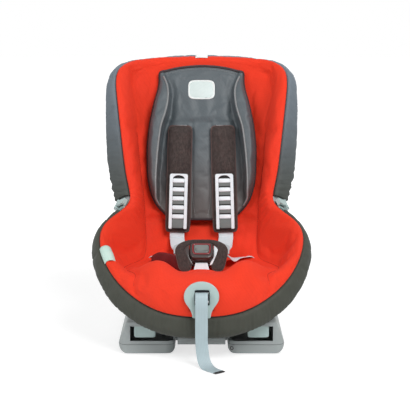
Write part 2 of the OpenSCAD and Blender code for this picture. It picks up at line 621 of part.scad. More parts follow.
function flank_half(l) =
    mix(tip_half, plate_radius*cos(neck_angle), pow((l - plate_tip)/(plate_neck - plate_tip), 2));
plate_edge = concat(
    [for (i = [0:48]) let (v = mix(neck_angle, 180 - neck_angle, i/48))
        [plate_radius*cos(v), head_mid + head_rise*sin(v)]],
    [for (i = [1:8]) let (l = mix(plate_neck, plate_tip, i/8)) [-flank_half(l), l]],
    [for (i = [0:7]) let (l = mix(plate_tip, plate_neck, i/8)) [flank_half(l), l]]);
module adjuster_plate()
    color(PALE_PLASTIC) at_plate() difference() {
        linear_extrude(plate_thick) polygon(plate_edge);
        translate([-finger_slot.x/2, finger_low, -1]) cube([finger_slot.x, finger_slot.y, plate_thick + 2]);
    }
module adjuster_bracket()
    color(STEEL) at_plate() difference() {
        translate([-bracket.x/2, bracket_l, -bracket.z]) cube(bracket);
        translate([bracket_wall - bracket.x/2, bracket_l + bracket_wall, -bracket.z - 1])
            cube(bracket + [-2*bracket_wall, -2*bracket_wall, 2]);
        rod_x(cam_at, cam_pin, bracket.x + 2);
    }
module adjuster_pin() color(STEEL) at_plate() rod_x(cam_at, cam_pin, bracket.x);
module adjuster_cam()
    color(STEEL) at_plate() translate([cam_span[0], cam_at.y, cam_at.z]) rotate([0, 90, 0]) difference() {
        union() {
            cylinder(r = cam_radius, h = cam_span[1] - cam_span[0]);
            translate([-cam_tab, -cam_radius, 0]) cube([cam_tab, cam_radius, cam_span[1] - cam_span[0]]);
        }
        translate([0, 0, -1]) cylinder(r = cam_pin + gap, h = bracket.x);
    }
module adjuster_spring()
    color(STEEL) at_plate() translate([cam_span[1] + gap, cam_at.y, cam_at.z]) rotate([0, 90, 0])
        coil(cam_coil[0], cam_coil[1], bracket.x/2 - bracket_wall - cam_span[1] - 2*gap, cam_coil[2]);
module adjuster_strap() {
    under = [for (a = [6.8:-0.7:1.9]) off_shell(a, 0, -shell_wall - 9)];
    pts = concat([back_pt(0, yoke_s - 14, behind_n), back_pt(0, 34, behind_n)], under,
        [for (n = [-bracket.z - 6, -bracket.z, plate_thick]) plate_pt(0, strap_l, n)]);
    color(WEBBING) ribbon(pts, [for (p = pts) [1, 0, 0]], tail_width, web_thick);
}

// Free end of the adjuster strap: out of the plate, down the front and flat along the floor
tail_exit = plate_pt(0, strap_l, plate_thick);
tail_start = plate_pt(0, strap_l, plate_thick + 5);
tail_pts = [tail_exit, tail_start, [0, -264.5, 141.5], [0, -268.5, 136], [0, -270.3, 128], [0, -271, 117],
    [0, -271, 105], [0, -271, 93], [0, -271, 79], [0, -271, 65], [0, -272, 51], [1, -274, 37],
    [2.5, -278, 24], [5, -284, 13], [9, -291, 6], [14, -298, 2.8], [20, -306, 1.8], [26, -313, 1.6],
    [32, -320, 1.6]];
tail_last = len(tail_pts) - 1;
tail_thick = 2;
tab_len = 7;
function tail_ring(i) =
    let (go = heading(tail_pts, i), x = unit([1, 0, 0] - go.x*go), y = cross(go, x))
    [for (k = [0:7]) let (c = cos(45*k + 22.5), s = -sin(45*k + 22.5))
        tail_pts[i] + x*tail_width/2*sign(c)*min(1, abs(c)*1.08) + y*tail_thick/2*sign(s)*min(1, abs(s)*1.5)];
module adjuster_tail()
    color(WEBBING) ring_solid([for (i = [0:tail_last]) tail_ring(i)]);
module tail_tab() {
    ring = tail_ring(tail_last);
    go = unit(tail_pts[tail_last] - tail_pts[tail_last - 1]);
    color(BLACK) ring_solid([ring, [for (p = ring) p + tab_len*go]]);
}

// Belt guides at the bare waist, with clamp levers
guide_a = 5.68;
guide_t = 3.6;
guide_lift = 3.1;
guide_plate = [24, 24, 3];
guide_pin = 2;
ear = 4;
ear_radius = 4.5;
pin_at = [9, 0, guide_lift + 8];
module belt_guide(side)
    color(PALE_PLASTIC) on_net(guide_a, guide_t, side) difference() {
        union() {
            translate([-guide_plate.x/2, -guide_plate.y/2, guide_lift]) cube(guide_plate);
            for (y = [-guide_plate.y/2, guide_plate.y/2 - ear])
                translate([pin_at.x, y, 0]) rotate([-90, 0, 0]) linear_extrude(ear) {
                    translate([0, -pin_at.z]) circle(ear_radius);
                    translate([-ear_radius, -pin_at.z]) square([2*ear_radius, pin_at.z - guide_lift]);
                }
        }
        rod_y(pin_at, guide_pin, 2*guide_plate.y);
    }
module clamp_pins()
    color(STEEL) for (side = [-1, 1]) on_net(guide_a, guide_t, side) rod_y(pin_at, guide_pin, guide_plate.y);
lever = [17, 4];
module belt_clamp(side) {
    w = guide_plate.y - 2*ear - 2*gap;
    color(PALE_PLASTIC) on_net(guide_a, guide_t, side) difference() {
        translate([0, w/2, 0]) rotate([90, 0, 0]) linear_extrude(w) {
            translate([pin_at.x, pin_at.z]) circle(lever.y);
            translate([-lever.x, pin_at.z]) square([lever.x + pin_at.x, lever.y]);
            translate([-lever.x, guide_lift + 3.6]) square([lever.y, pin_at.z - guide_lift]);
        }
        rod_y(pin_at, guide_pin + gap, 2*guide_plate.y);
    }
}

// Base: two hollow feet with an arc track between guide walls
foot_x = foot_gap/2 + foot_width/2;
base_mid = (base_rear - base_front)/2;
base_length = base_rear + base_front;
foot_lean = 14;
foot_corner = 20;
foot_middle = (foot_height + pad_proud)/2;
track_radius = pivot_z - foot_height - 1;
wall_radius = track_radius - 20;
pin_track = track_radius - 9;
track_x = foot_gap/2 + 18;
runner_wide = 12;
guide_wall = 7;
track_half = runner_wide/2 + 0.4 + guide_wall;
track_front = base_front - 15;
track_rear = 130;
pin_angles = [-asin(45/pin_track), asin(75/pin_track)];
function on_arc(r, a) = [pivot_y + r*sin(a), pivot_z - r*cos(a)];
module arc_disc(r) translate([pivot_y, pivot_z]) circle(r, $fn = 180);
module below_arc(r) difference() {
    translate([-track_front, foot_height - base_wall]) square([track_front + track_rear, 130]);
    arc_disc(r);
}
slot_steps = 12;
function slot_side(r, a0, a1) = [for (i = [0:slot_steps]) on_arc(r, mix(a0, a1, i/slot_steps))];
function slot_end(r, half, a, turn) = [for (i = [1:slot_steps - 1])
    let (b = a + turn + 180*i/slot_steps) on_arc(r, a) + half*[cos(b), sin(b)]];
module arc_slot(r, half, a0, a1)
    polygon(concat(slot_side(r + half, a0, a1), slot_end(r, half, a1, -90),
        slot_side(r - half, a1, a0), slot_end(r, half, a0, 90)));
// A foot's section: centre and radius of each corner, low inside, low outside, high outside, high inside
foot_half = [foot_width, foot_height - pad_proud]/2;
foot_corners = [[12 - foot_half.x, 12 - foot_half.y, 12], [foot_half.x - 18, 18 - foot_half.y, 18],
    [foot_half.x - foot_lean - 7, foot_half.y - 7, 7], [7 - foot_half.x, foot_half.y - 7, 7]];
module foot_form(wall)
    intersection() {
        translate([foot_x, base_rear - wall, foot_middle]) rotate([90, 0, 0]) linear_extrude(base_length - 2*wall)
            hull() for (c = foot_corners) translate([c[0], c[1]]) circle(c[2] - wall);
        translate([foot_x, base_mid, 0]) linear_extrude(foot_height)
            rounded_rect(foot_width - 2*wall, base_length - 2*wall, foot_corner - wall);
    }
rubber = [26, 70, 3];
rubber_round = 6;
rubber_ys = [60 - base_front, base_rear - 60];
screw_ys = [-100, -80, 135, 175];
screw_z = 30;
screw_r = 2.5;
screw_len = 14;
screw_head = [5, 3];
window_wide = foot_width - 32;
module base_rail(side)
    color(GREY_PLASTIC) on_side(side) difference() {
        union() {
            foot_form(0);
            for (x = [track_x - track_half, track_x + track_half - guide_wall])
                side_profile(x, x + guide_wall) below_arc(wall_radius);
            side_profile(track_x - track_half + guide_wall, track_x + track_half - guide_wall)
                below_arc(track_radius);
        }
        foot_form(base_wall);
        translate([foot_gap/2 - 1, -base_front - 1, lip_height])
            cube([window_wide + 9, foot_corner, foot_height - lip_height - 8]);
        translate([foot_gap/2 + 16, base_rear - 10, lip_height])
            cube([window_wide, foot_corner, foot_height - lip_height - 14]);
        for (a = pin_angles)
            side_profile(track_x - track_half - 1, track_x + track_half + 1)
                arc_slot(pin_track, pin_radius + gap + fit, a - recline_angle, a);
        for (y = rubber_ys) translate([foot_x, y, 0])
            linear_extrude(rubber.z) rounded_rect(rubber.x + 2*gap, rubber.y + 2*gap, rubber_round);
        for (y = screw_ys) rod_x([foot_gap/2, y, screw_z], screw_r + fit, 4*base_wall);
    }
module foot_pads()
    color(BLACK) for (side = [-1, 1], y = rubber_ys) translate([side*foot_x, y, 0])
        linear_extrude(rubber.z) rounded_rect(rubber.x, rubber.y, rubber_round);
module base_screws()
    color(STEEL) for (side = [-1, 1], y = screw_ys)
        on_side(side) translate([foot_gap/2 + base_wall, y, screw_z]) rotate([0, -90, 0]) {
            cylinder(r = screw_r, h = screw_len);
            translate([0, 0, -screw_head[1]]) cylinder(r = screw_head[0], h = screw_head[1]);
        }
module screw_holes(ys)
    for (side = [-1, 1], y = ys) rod_x([side*foot_gap/2, y, screw_z], screw_r + fit, 2*screw_len);
cross_low = 8;
cross_front_y = [-110, -70];
cross_front_h = 66;
cross_rear_y = [120, 190];
cross_rear_h = 46;
cross_side = 18;
arm_x = [30, 40];
arm_z = [22, 34];
arm_room = 0.5;
module base_cross_front()
    color(GREY_PLASTIC) difference() {
        translate([-foot_gap/2, cross_front_y[0], cross_low])
            cube([foot_gap, cross_front_y[1] - cross_front_y[0], cross_front_h]);
        for (side = [-1, 1]) on_side(side)
            translate([arm_x[0] - arm_room, cross_front_y[0] - 1, arm_z[0] - arm_room])
                cube([arm_x[1] - arm_x[0] + 2*arm_room, 60, arm_z[1] - arm_z[0] + 2*arm_room]);
        translate([-24, cross_front_y[0] - 1, 4]) cube([48, 60, 50]);
        screw_holes([screw_ys[0], screw_ys[1]]);
    }
module base_cross_rear()
    color(GREY_PLASTIC) difference() {
        translate([-foot_gap/2, cross_rear_y[0], cross_low])
            cube([foot_gap, cross_rear_y[1] - cross_rear_y[0], cross_rear_h]);
        translate([cross_side - foot_gap/2, cross_rear_y[0] + base_wall, cross_low - base_wall])
            cube([foot_gap - 2*cross_side, cross_rear_y[1] - cross_rear_y[0] - 2*base_wall, cross_rear_h]);
        screw_holes([screw_ys[2], screw_ys[3]]);
    }

// Recline handle between the feet, with its latch bar and spring
grip = [24, 19];
grip_y = grip.x/2 - base_front;
grip_z = 28;
latch_coil = [6, 1.4, 6];
latch_deep = 18;
latch_front = cross_front_y[1] + 2*gap + latch_coil[1]*latch_coil[2] + handle_travel + 9;
latch_x = [34, 44];
latch_head = [58, 72];
module recline_handle()
    color(GREY_PLASTIC) {
        difference() {
            side_profile(-handle_width/2, handle_width/2)
                translate([grip_y, grip_z]) rounded_rect(grip.x, grip.y, 7);
            translate([14 - handle_width/2, grip_y + 2, 0]) cube([handle_width - 28, 30, grip_z - 2]);
        }
        for (side = [-1, 1]) on_side(side) translate([arm_x[0], grip_y + grip.x/2 - 1, arm_z[0]])
            cube([arm_x[1] - arm_x[0], latch_front - grip_y - grip.x/2 + 1, arm_z[1] - arm_z[0]]);
    }
rack_radius = track_radius - 16;
rack_x = [22, 36];
rack_y = [-84, 64];
notch = 4.5;
tooth = 7;
latch_mid = latch_front + latch_deep/2;
latch_angle = asin((latch_mid - pivot_y)/rack_radius);
tooth_top = on_arc(rack_radius, latch_angle).y - 0.8;
module latch_bar()
    color(STEEL) translate([0, latch_front, 0]) {
        for (side = [-1, 1]) on_side(side) translate([latch_x[0], 0, arm_z[0]])
            cube([latch_x[1] - latch_x[0], latch_deep, latch_head[1] - arm_z[0]]);
        translate([-latch_x[1], 0, latch_head[0]])
            cube([2*latch_x[1], latch_deep, latch_head[1] - latch_head[0]]);
        translate([rack_x[0], (latch_deep - tooth)/2, latch_head[1] - 1])
            cube([rack_x[1] - rack_x[0], tooth, tooth_top - latch_head[1] + 1]);
    }
module latch_spring()
    color(STEEL) translate([0, cross_front_y[1] + gap, latch_head[0] + 7]) rotate([-90, 0, 0])
        coil(latch_coil[0], latch_coil[1], latch_front - cross_front_y[1] - 2*gap, latch_coil[2]);

// Runners, pins and rack under the shell
runner_gap = 1.4;
runner_y = [-104, 96];
function under_line(x, ys) = [for (a = [1.6:0.3:7.3])
    let (p = off_shell(a, t_at_x(a, x), -shell_wall - runner_gap)) if (inside(p.y, ys)) [p.y, p.z]];
module hanger(x, ys, r) {
    top = under_line(x, ys);
    intersection() {
        polygon(concat(top, [[top[len(top) - 1].x, 0], [top[0].x, 0]]));
        arc_disc(r);
    }
}
function pin_pt(a) = let (p = on_arc(pin_track, a)) [track_x, p.x, p.y];
module shell_runner(side)
    color(GREY_PLASTIC) on_side(side) difference() {
        side_profile(track_x - runner_wide/2, track_x + runner_wide/2)
            hanger(track_x, runner_y, track_radius - gap);
        for (a = pin_angles) rod_x(pin_pt(a), pin_radius + fit, runner_wide + 2);
    }
module glide_pins()
    color(STEEL) for (side = [-1, 1], a = pin_angles)
        on_side(side) rod_x(pin_pt(a), pin_radius, 2*track_half);
module recline_rack()
    color(STEEL) side_profile(rack_x[0], rack_x[1]) difference() {
        hanger((rack_x[0] + rack_x[1])/2, rack_y, rack_radius);
        for (i = [0:notch_count - 1])
            translate(on_arc(rack_radius, latch_angle + i*recline_angle/(notch_count - 1))) circle(notch);
    }

base_rail(-1);  // base_rail_left
base_rail(1);  // base_rail_right
base_cross_front();
base_cross_rear();
base_screws();
foot_pads();
recline_handle();
latch_bar();
latch_spring();
seat_shell();
shell_runner(-1);  // shell_runner_left
shell_runner(1);  // shell_runner_right
glide_pins();
recline_rack();
seat_cover();
seat_border();
back_border();
head_insert();
label_patch();
top_tag();
side_tag();
shoulder_strap(-1);  // shoulder_strap_left
shoulder_strap(1);  // shoulder_strap_right
harness_yoke();
lap_strap(-1);  // lap_strap_left
lap_strap(1);  // lap_strap_right
lap_anchors();
crotch_strap();
crotch_anchor();
crotch_pad();
buckle_back();
buckle_housing();
buckle_latch();
buckle_spring();
buckle_button();
tongue(-1);  // tongue_left
tongue(1);  // tongue_right
chest_pad(-1);  // chest_pad_left
chest_pad(1);  // chest_pad_right
grip_ladder(-1);  // grip_ladder_left
grip_ladder(1);  // grip_ladder_right
adjuster_plate();
adjuster_bracket();
adjuster_pin();
adjuster_cam();
adjuster_spring();
adjuster_strap();
adjuster_tail();
tail_tab();
belt_guide(-1);  // belt_guide_left
belt_guide(1);  // belt_guide_right
clamp_pins();
belt_clamp(-1);  // belt_clamp_left
belt_clamp(1);  // belt_clamp_right
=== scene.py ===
"""Looks of a forward-facing child seat: its cloth, padding, webbing and moulded parts around the CAD frame."""
import logging
import math
from collections import Counter
from dataclasses import dataclass, field
from enum import Enum
from typing import Any, Callable, Sequence

import bmesh
import bpy
import numpy as np
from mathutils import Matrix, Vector


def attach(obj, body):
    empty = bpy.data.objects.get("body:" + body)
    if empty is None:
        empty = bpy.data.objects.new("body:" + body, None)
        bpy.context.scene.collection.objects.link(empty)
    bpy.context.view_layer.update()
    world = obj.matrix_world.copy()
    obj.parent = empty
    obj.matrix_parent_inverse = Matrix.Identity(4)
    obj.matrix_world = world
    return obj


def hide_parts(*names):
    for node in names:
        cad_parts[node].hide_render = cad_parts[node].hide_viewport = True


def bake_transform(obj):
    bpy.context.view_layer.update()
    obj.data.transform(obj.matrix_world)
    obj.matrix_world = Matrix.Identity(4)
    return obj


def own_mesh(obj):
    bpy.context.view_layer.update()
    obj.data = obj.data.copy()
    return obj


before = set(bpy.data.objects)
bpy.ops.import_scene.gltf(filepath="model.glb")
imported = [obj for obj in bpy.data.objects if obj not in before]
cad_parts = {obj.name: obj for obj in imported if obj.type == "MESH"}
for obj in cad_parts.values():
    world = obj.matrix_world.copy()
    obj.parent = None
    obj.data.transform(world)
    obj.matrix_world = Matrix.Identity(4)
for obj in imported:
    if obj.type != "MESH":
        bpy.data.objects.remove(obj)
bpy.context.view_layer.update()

LOG = logging.getLogger("child_seat")
Array, Piece, Tree, Node = np.ndarray, bpy.types.Object, bpy.types.NodeTree, bpy.types.Node
Socket, Outlines = bpy.types.NodeSocket, Sequence[tuple[np.ndarray, float]]
Two, Three, Four = tuple[float, float], tuple[float, float, float], tuple[float, float, float, float]
Pairs = tuple[Two, ...]
MM = 0.001
ACROSS, UPWARD = np.array([1.0, 0, 0]), np.array([0, 0, 1.0])
STITCH_SIDES = 6
# A stitch from end to end: how far along its pitch, how far above the cloth and how thick, by the thread.
STITCH = ((0, -0.5, 0.4), (0.25, 0.35, 1), (0.55, 0.35, 1), (0.8, -0.5, 0.4))
# The upper half of webbing's section, between its selvedges, by half its width and by its thickness.
SELVEDGE = ((1, 0.35), (0.96, 0.5), (0.5, 0.5), (0, 0.5), (-0.5, 0.5), (-0.96, 0.5), (-1, 0.35))
# Cloth in the swelling step: it stretches little and bends easily.
CLOTH = {"quality": 5, "mass": 0.3, "air_damping": 2.0, "tension_stiffness": 25, "compression_stiffness": 25,
         "shear_stiffness": 8, "bending_stiffness": 0.4, "vertex_group_mass": "sewn", "pin_stiffness": 1.0,
         "use_pressure": True}
SWELL_FRAMES = 20


class Side(Enum):
    """The two sides of the seat as seen from the front, by the sign of x."""

    LEFT = -1
    RIGHT = 1

    @property
    def word(self) -> str:
        """The side's name in piece and node names."""
        return self.name.lower()

    @property
    def mirror(self) -> Array:
        """Factors that put a right-hand point on this side."""
        return np.array([self.value, 1, 1])


def linear_colour(code: str) -> Four:
    """Linear red, green, blue and an alpha of 1 for an sRGB hex colour with a leading hash."""
    parts = [int(code[i:i + 2], 16) / 255 for i in (1, 3, 5)]
    return (*[c / 12.92 if c <= 0.04045 else ((c + 0.055) / 1.055) ** 2.4 for c in parts], 1.0)


def ramp(x: Any, low: float, high: float) -> Any:
    """A smooth step from 0 at low to 1 at high."""
    f = np.clip((np.asarray(x, float) - low) / (high - low), 0, 1)
    return f * f * (3 - 2 * f)


def bump(x: Any, middle: float, reach: float) -> Any:
    """A bell of height 1."""
    return np.exp(-(((np.asarray(x, float) - middle) / reach) ** 2))


def unit(v: Array) -> Array:
    """Vectors of length 1 along the last axis."""
    return v / np.maximum(np.linalg.norm(v, axis=-1, keepdims=True), 1e-9)


def cos_sin(degrees: float) -> Two:
    """Cosine and sine of an angle."""
    return math.cos(math.radians(degrees)), math.sin(math.radians(degrees))


def floats(*values: Any) -> Sequence[Array]:
    """Numbers and arrays as arrays of one shape."""
    return np.broadcast_arrays(*(np.asarray(v, float) for v in values))


def mesh_grid(*lines: Array) -> list[Array]:
    """Grids from the lines of their rows and columns."""
    return np.meshgrid(*lines, indexing="ij")


def circle(count: int) -> tuple[Array, Array]:
    """Cosines and sines of even steps round a circle."""
    turn = np.arange(count) * 2 * math.pi / count
    return np.cos(turn), np.sin(turn)


def run_along(route: Array) -> Array:
    """The length along a route up to each of its points."""
    return np.concatenate([[0], np.cumsum(np.linalg.norm(np.diff(route, axis=0), axis=1))])


def rows_at(at: Any, run: Array, rows: Array) -> Array:
    """Rows of numbers, read off at places between the places where they are known."""
    return np.stack([np.interp(at, run, column) for column in rows.T], -1)


def ripple(points: Array, wave_mm: float, seed: int) -> Array:
    """Smooth seeded unevenness from a few plane waves.

    Args:
        points: places in millimetres, the last axis is x, y, z.
        wave_mm: middle wavelength.
        seed: seed of the random directions.

    Returns:
        Values from about -1 to 1, one for each point.
    """
    rng = np.random.default_rng(seed)
    total = np.zeros(points.shape[:-1])
    for _ in range(9):
        direction = unit(rng.normal(size=3))
        wave = wave_mm * rng.uniform(0.6, 1.6)
        total += np.sin(points @ direction * 2 * math.pi / wave + rng.uniform(0, 2 * math.pi))
    return total / 4.2


def smooth_route(points: Sequence[Sequence[float]], step_mm: float) -> Array:
    """A Catmull-Rom curve through points of any width, sampled at even steps.

    Args:
        points: rows of numbers; the first three are x, y, z.
        step_mm: distance between samples.

    Returns:
        The sampled rows.
    """
    p = np.asarray(points, float)
    q = np.vstack([2 * p[0] - p[1], p, 2 * p[-1] - p[-2]])
    rows = []
    for i in range(1, len(q) - 2):
        f = np.linspace(0, 1, 24, endpoint=False)[:, None]
        a, b, c, d = q[i - 1:i + 3]
        square, cube = 2 * a - 5 * b + 4 * c - d, 3 * b - a - 3 * c + d
        rows.append(0.5 * (2 * b + (c - a) * f + square * f**2 + cube * f**3))
    fine = np.vstack([*rows, q[-2:-1]])
    run = run_along(fine[:, :3])
    return rows_at(np.linspace(0, run[-1], max(2, round(run[-1] / step_mm) + 1)), run, fine)


def distance_to_route(points: Array, route: Array) -> Array:
    """How far points are from the nearest stretch of a route.

    Args:
        points: places, any shape with x, y, z last.
        route: points of the route.

    Returns:
        One distance for each place.
    """
    flat = points.reshape(-1, 3)
    best = np.full(len(flat), np.inf)
    for a, b in zip(route[:-1], route[1:]):
        d = b - a
        f = np.clip(((flat - a) @ d) / max(d @ d, 1e-9), 0, 1)
        best = np.minimum(best, np.linalg.norm(flat - a - f[:, None] * d, axis=1))
    return best.reshape(points.shape[:-1])


# Meshes


def grid_faces(rows: int, columns: int, gone: Array | None = None, wrap: bool = False) -> list[tuple[int, ...]]:
    """Quads of a grid of points stored row by row.

    Args:
        rows: number of rows of points.
        columns: number of points in a row.
        gone: cells to leave out, True where there is a hole.
        wrap: whether each row closes on itself.

    Returns:
        The faces.
    """
    faces = []
    for i in range(rows - 1):
        for k in range(columns if wrap else columns - 1):
            if gone is None or not gone[i, k]:
                n = (k + 1) % columns
                faces.append((i * columns + k, i * columns + n, (i + 1) * columns + n, (i + 1) * columns + k))
    return faces


def make_piece(name: str, points: Array, faces: Sequence[Sequence[int]], weld_mm: float = 0.001) -> Piece:
    """Makes a smooth-shaded mesh object from points in millimetres.

    Args:
        name: its name.
        points: places, any shape with x, y, z last.
        faces: point numbers of each face.
        weld_mm: points closer than this become one.

    Returns:
        The new object, linked to the scene.
    """
    mesh = bpy.data.meshes.new(name)
    mesh.from_pydata((np.asarray(points, float).reshape(-1, 3) * MM).tolist(), [], [list(f) for f in faces])
    work = bmesh.new()
    work.from_mesh(mesh)
    bmesh.ops.remove_doubles(work, verts=work.verts, dist=weld_mm * MM)
    bmesh.ops.dissolve_degenerate(work, edges=work.edges, dist=1e-7)
    loose = [v for v in work.verts if not v.link_faces]
    bmesh.ops.delete(work, geom=loose, context="VERTS")
    bmesh.ops.recalc_face_normals(work, faces=work.faces)
    work.to_mesh(mesh)
    work.free()
    mesh.shade_smooth()
    piece = bpy.data.objects.new(name, mesh)
    bpy.context.scene.collection.objects.link(piece)
    return piece


def skin_piece(name: str, low: Array, high: Array, gone: Array | None = None) -> Piece:
    """A closed piece between two skins on the same grid, with walls round the rim and round each hole.

    Args:
        name: its name.
        low: rows by columns of points of the underside.
        high: the same for the upper side.
        gone: cells that are holes.

    Returns:
        The closed piece.
    """
    rows, columns = low.shape[:2]
    count = rows * columns
    top = grid_faces(rows, columns, gone)
    points = np.vstack([low.reshape(-1, 3), high.reshape(-1, 3)])
    keys = np.unique(np.round(high.reshape(-1, 3) / 0.01).astype(int), axis=0, return_inverse=True)[1].ravel()
    sides = [(p, q) for f in top for p, q in zip(f, f[1:] + f[:1]) if keys[p] != keys[q]]
    pairs = [tuple(sorted((keys[p], keys[q]))) for p, q in sides]
    used = Counter(pairs)
    faces = [tuple(v + count for v in f) for f in top] + [f[::-1] for f in top]
    faces += [(p, q, q + count, p + count) for (p, q), pair in zip(sides, pairs) if used[pair] == 1]
    return make_piece(name, points, faces)


def sweep_piece(name: str, rings: Array, closed: bool = False) -> Piece:
    """A tube through rings of points, capped at its ends unless the route is closed.

    Args:
        name: its name.
        rings: rings by points by x, y, z.
        closed: whether the last ring joins the first.

    Returns:
        The piece.
    """
    n, m = rings.shape[:2]
    faces = grid_faces(n, m, wrap=True)
    if closed:
        faces += [((n - 1) * m + k, (n - 1) * m + (k + 1) % m, (k + 1) % m, k) for k in range(m)]
    else:
        faces += [tuple(range(m))[::-1], tuple(range((n - 1) * m, n * m))]
    return make_piece(name, rings, faces)


def route_frames(route: Array, across: Array) -> tuple[Array, Array, Array]:
    """Heading, across and out directions along a route.

    Args:
        route: points of the route.
        across: wanted direction of the width, one or one for each point.

    Returns:
        Three arrays of unit vectors.
    """
    go = unit(np.gradient(route, axis=0))
    side = unit(across - (across * go).sum(1)[:, None] * go)
    return go, side, np.cross(go, side)


def tube_piece(name: str, route: Array, radius_mm: float, sides: int = 8, closed: bool = False) -> Piece:
    """A round cord along a route.

    Args:
        name: its name.
        route: points in millimetres.
        radius_mm: the cord's radius.
        sides: facets round it.
        closed: whether it is a ring.

    Returns:
        The piece.
    """
    line = np.vstack([route[-1:], route, route[:1]]) if closed else route
    go = unit(np.gradient(line, axis=0))
    go = go[1:-1] if closed else go
    guess = np.where(np.abs(go[:, :1]) > 0.8, [[0.0, 0.0, 1.0]], [[1.0, 0.0, 0.0]])
    side = unit(np.cross(go, guess))
    for i in range(1, len(side)):
        side[i] = unit(side[i - 1] - (side[i - 1] @ go[i]) * go[i])
    c, s = circle(sides)
    rings = c[None, :, None] * side[:, None] + s[None, :, None] * np.cross(go, side)[:, None]
    return sweep_piece(name, route[:, None] + radius_mm * rings, closed)


def ribbon_piece(name: str, route: Array, across: Array, width_mm: Any, thick_mm: float) -> Piece:
    """Flat webbing with rounded selvedges, and a UV map in millimetres along and across it.

    Args:
        name: its name.
        route: points of its middle line.
        across: direction of its width, one or one for each point.
        width_mm: width, one number or one for each point.
        thick_mm: thickness.

    Returns:
        The piece.
    """
    _, side, out = route_frames(route, across)
    half = np.broadcast_to(np.asarray(width_mm, float) / 2, (len(route),))
    profile = np.array([*np.negative(SELVEDGE), *SELVEDGE])
    rings = route[:, None] + profile[None, :, :1] * half[:, None, None] * side[:, None] \
        + profile[None, :, 1:] * thick_mm * out[:, None]
    piece = sweep_piece(name, rings)
    corner = np.zeros(len(piece.data.loops), int)
    piece.data.loops.foreach_get("vertex_index", corner)
    place = np.array([v.co for v in piece.data.vertices]) / MM
    nearest = ((place[:, None, :] - route[None]) ** 2).sum(2).argmin(1)
    u = ((place - route[nearest]) * side[nearest]).sum(1)
    layer = piece.data.uv_layers.new(name="webbing_mm")
    layer.data.foreach_set("uv", np.column_stack([u, run_along(route)[nearest]])[corner].ravel())
    return piece


def stitch_piece(name: str, route: Array, out: Array, pitch_mm: float = 4.0, thread_mm: float = 0.7) -> Piece:
    """A row of sewn stitches: short slim beads that dip into the cloth at both ends.

    Args:
        name: its name.
        route: points of the sewn line, on the cloth.
        out: direction away from the cloth, one or one for each point.
        pitch_mm: length of a stitch with its gap.
        thread_mm: thickness of the thread.

    Returns:
        One piece with all the stitches.
    """
    run, out = run_along(route), np.broadcast_to(out, route.shape)
    turn = np.arange(STITCH_SIDES) * math.pi / 3
    rings, faces = [], []
    for start in np.arange(0.3 * pitch_mm, run[-1] - pitch_mm, pitch_mm):
        base = STITCH_SIDES * len(rings)
        for share, lift, size in STITCH:
            at = start + share * pitch_mm
            spot, up = rows_at(at, run, route), unit(rows_at(at, run, out))
            side = np.cross(unit(rows_at(at + 0.5, run, route) - spot), up)
            rings.append(spot + up * lift * thread_mm + size * thread_mm / 2 * (
                np.cos(turn)[:, None] * side + np.sin(turn)[:, None] * up))
        last = STITCH_SIDES * (len(rings) - 1)
        faces += [tuple(v + base for v in f) for f in grid_faces(len(STITCH), STITCH_SIDES, wrap=True)]
        faces += [tuple(range(base, base + STITCH_SIDES))[::-1], tuple(range(last, last + STITCH_SIDES))]
    return make_piece(name, np.vstack(rings), faces, weld_mm=1e-5)


def flat_rings(outlines: Outlines) -> Array:
    """Flat outlines of x, y points as rings, each at its own height."""
    return np.array([np.column_stack([o, np.full(len(o), z)]) for o, z in outlines])


def block_piece(name: str, outlines: Outlines) -> Piece:
    """A solid lofted up through flat outlines, in its own flat frame."""
    return sweep_piece(name, flat_rings(outlines))


def ring_piece(name: str, outlines: Outlines) -> Piece:
    """A frame with a hole, whose outlines follow each other round its section, in its own flat frame."""
    return sweep_piece(name, np.swapaxes(flat_rings(outlines), 0, 1), True)


def round_outline(half_x: float, half_y: float, power: float = 5, points: int = 48) -> Array:
    """A rounded oblong whose sides bulge a little (a superellipse).

    Args:
        half_x: half its width.
        half_y: half its height.
        power: 2 for an ellipse; the higher, the squarer.
        points: number of points.

    Returns:
        The outline's x, y points.
    """
    c, s = circle(points)
    return np.column_stack([half_x * np.sign(c) * np.abs(c) ** (2 / power),
                            half_y * np.sign(s) * np.abs(s) ** (2 / power)])


def place(piece: Piece, origin: Array, axes: Array) -> Piece:
    """Moves a piece's mesh from a flat frame into the seat's frame.

    Args:
        piece: the piece, made round the origin.
        origin: where its origin goes, in millimetres.
        axes: rows of its x, y and z directions.

    Returns:
        The same piece.
    """
    co = np.array([v.co for v in piece.data.vertices])
    piece.data.vertices.foreach_set("co", (np.asarray(origin) * MM + co @ np.asarray(axes)).ravel())
    if np.linalg.det(np.asarray(axes)) < 0:
        piece.data.flip_normals()
    piece.data.update()
    return piece


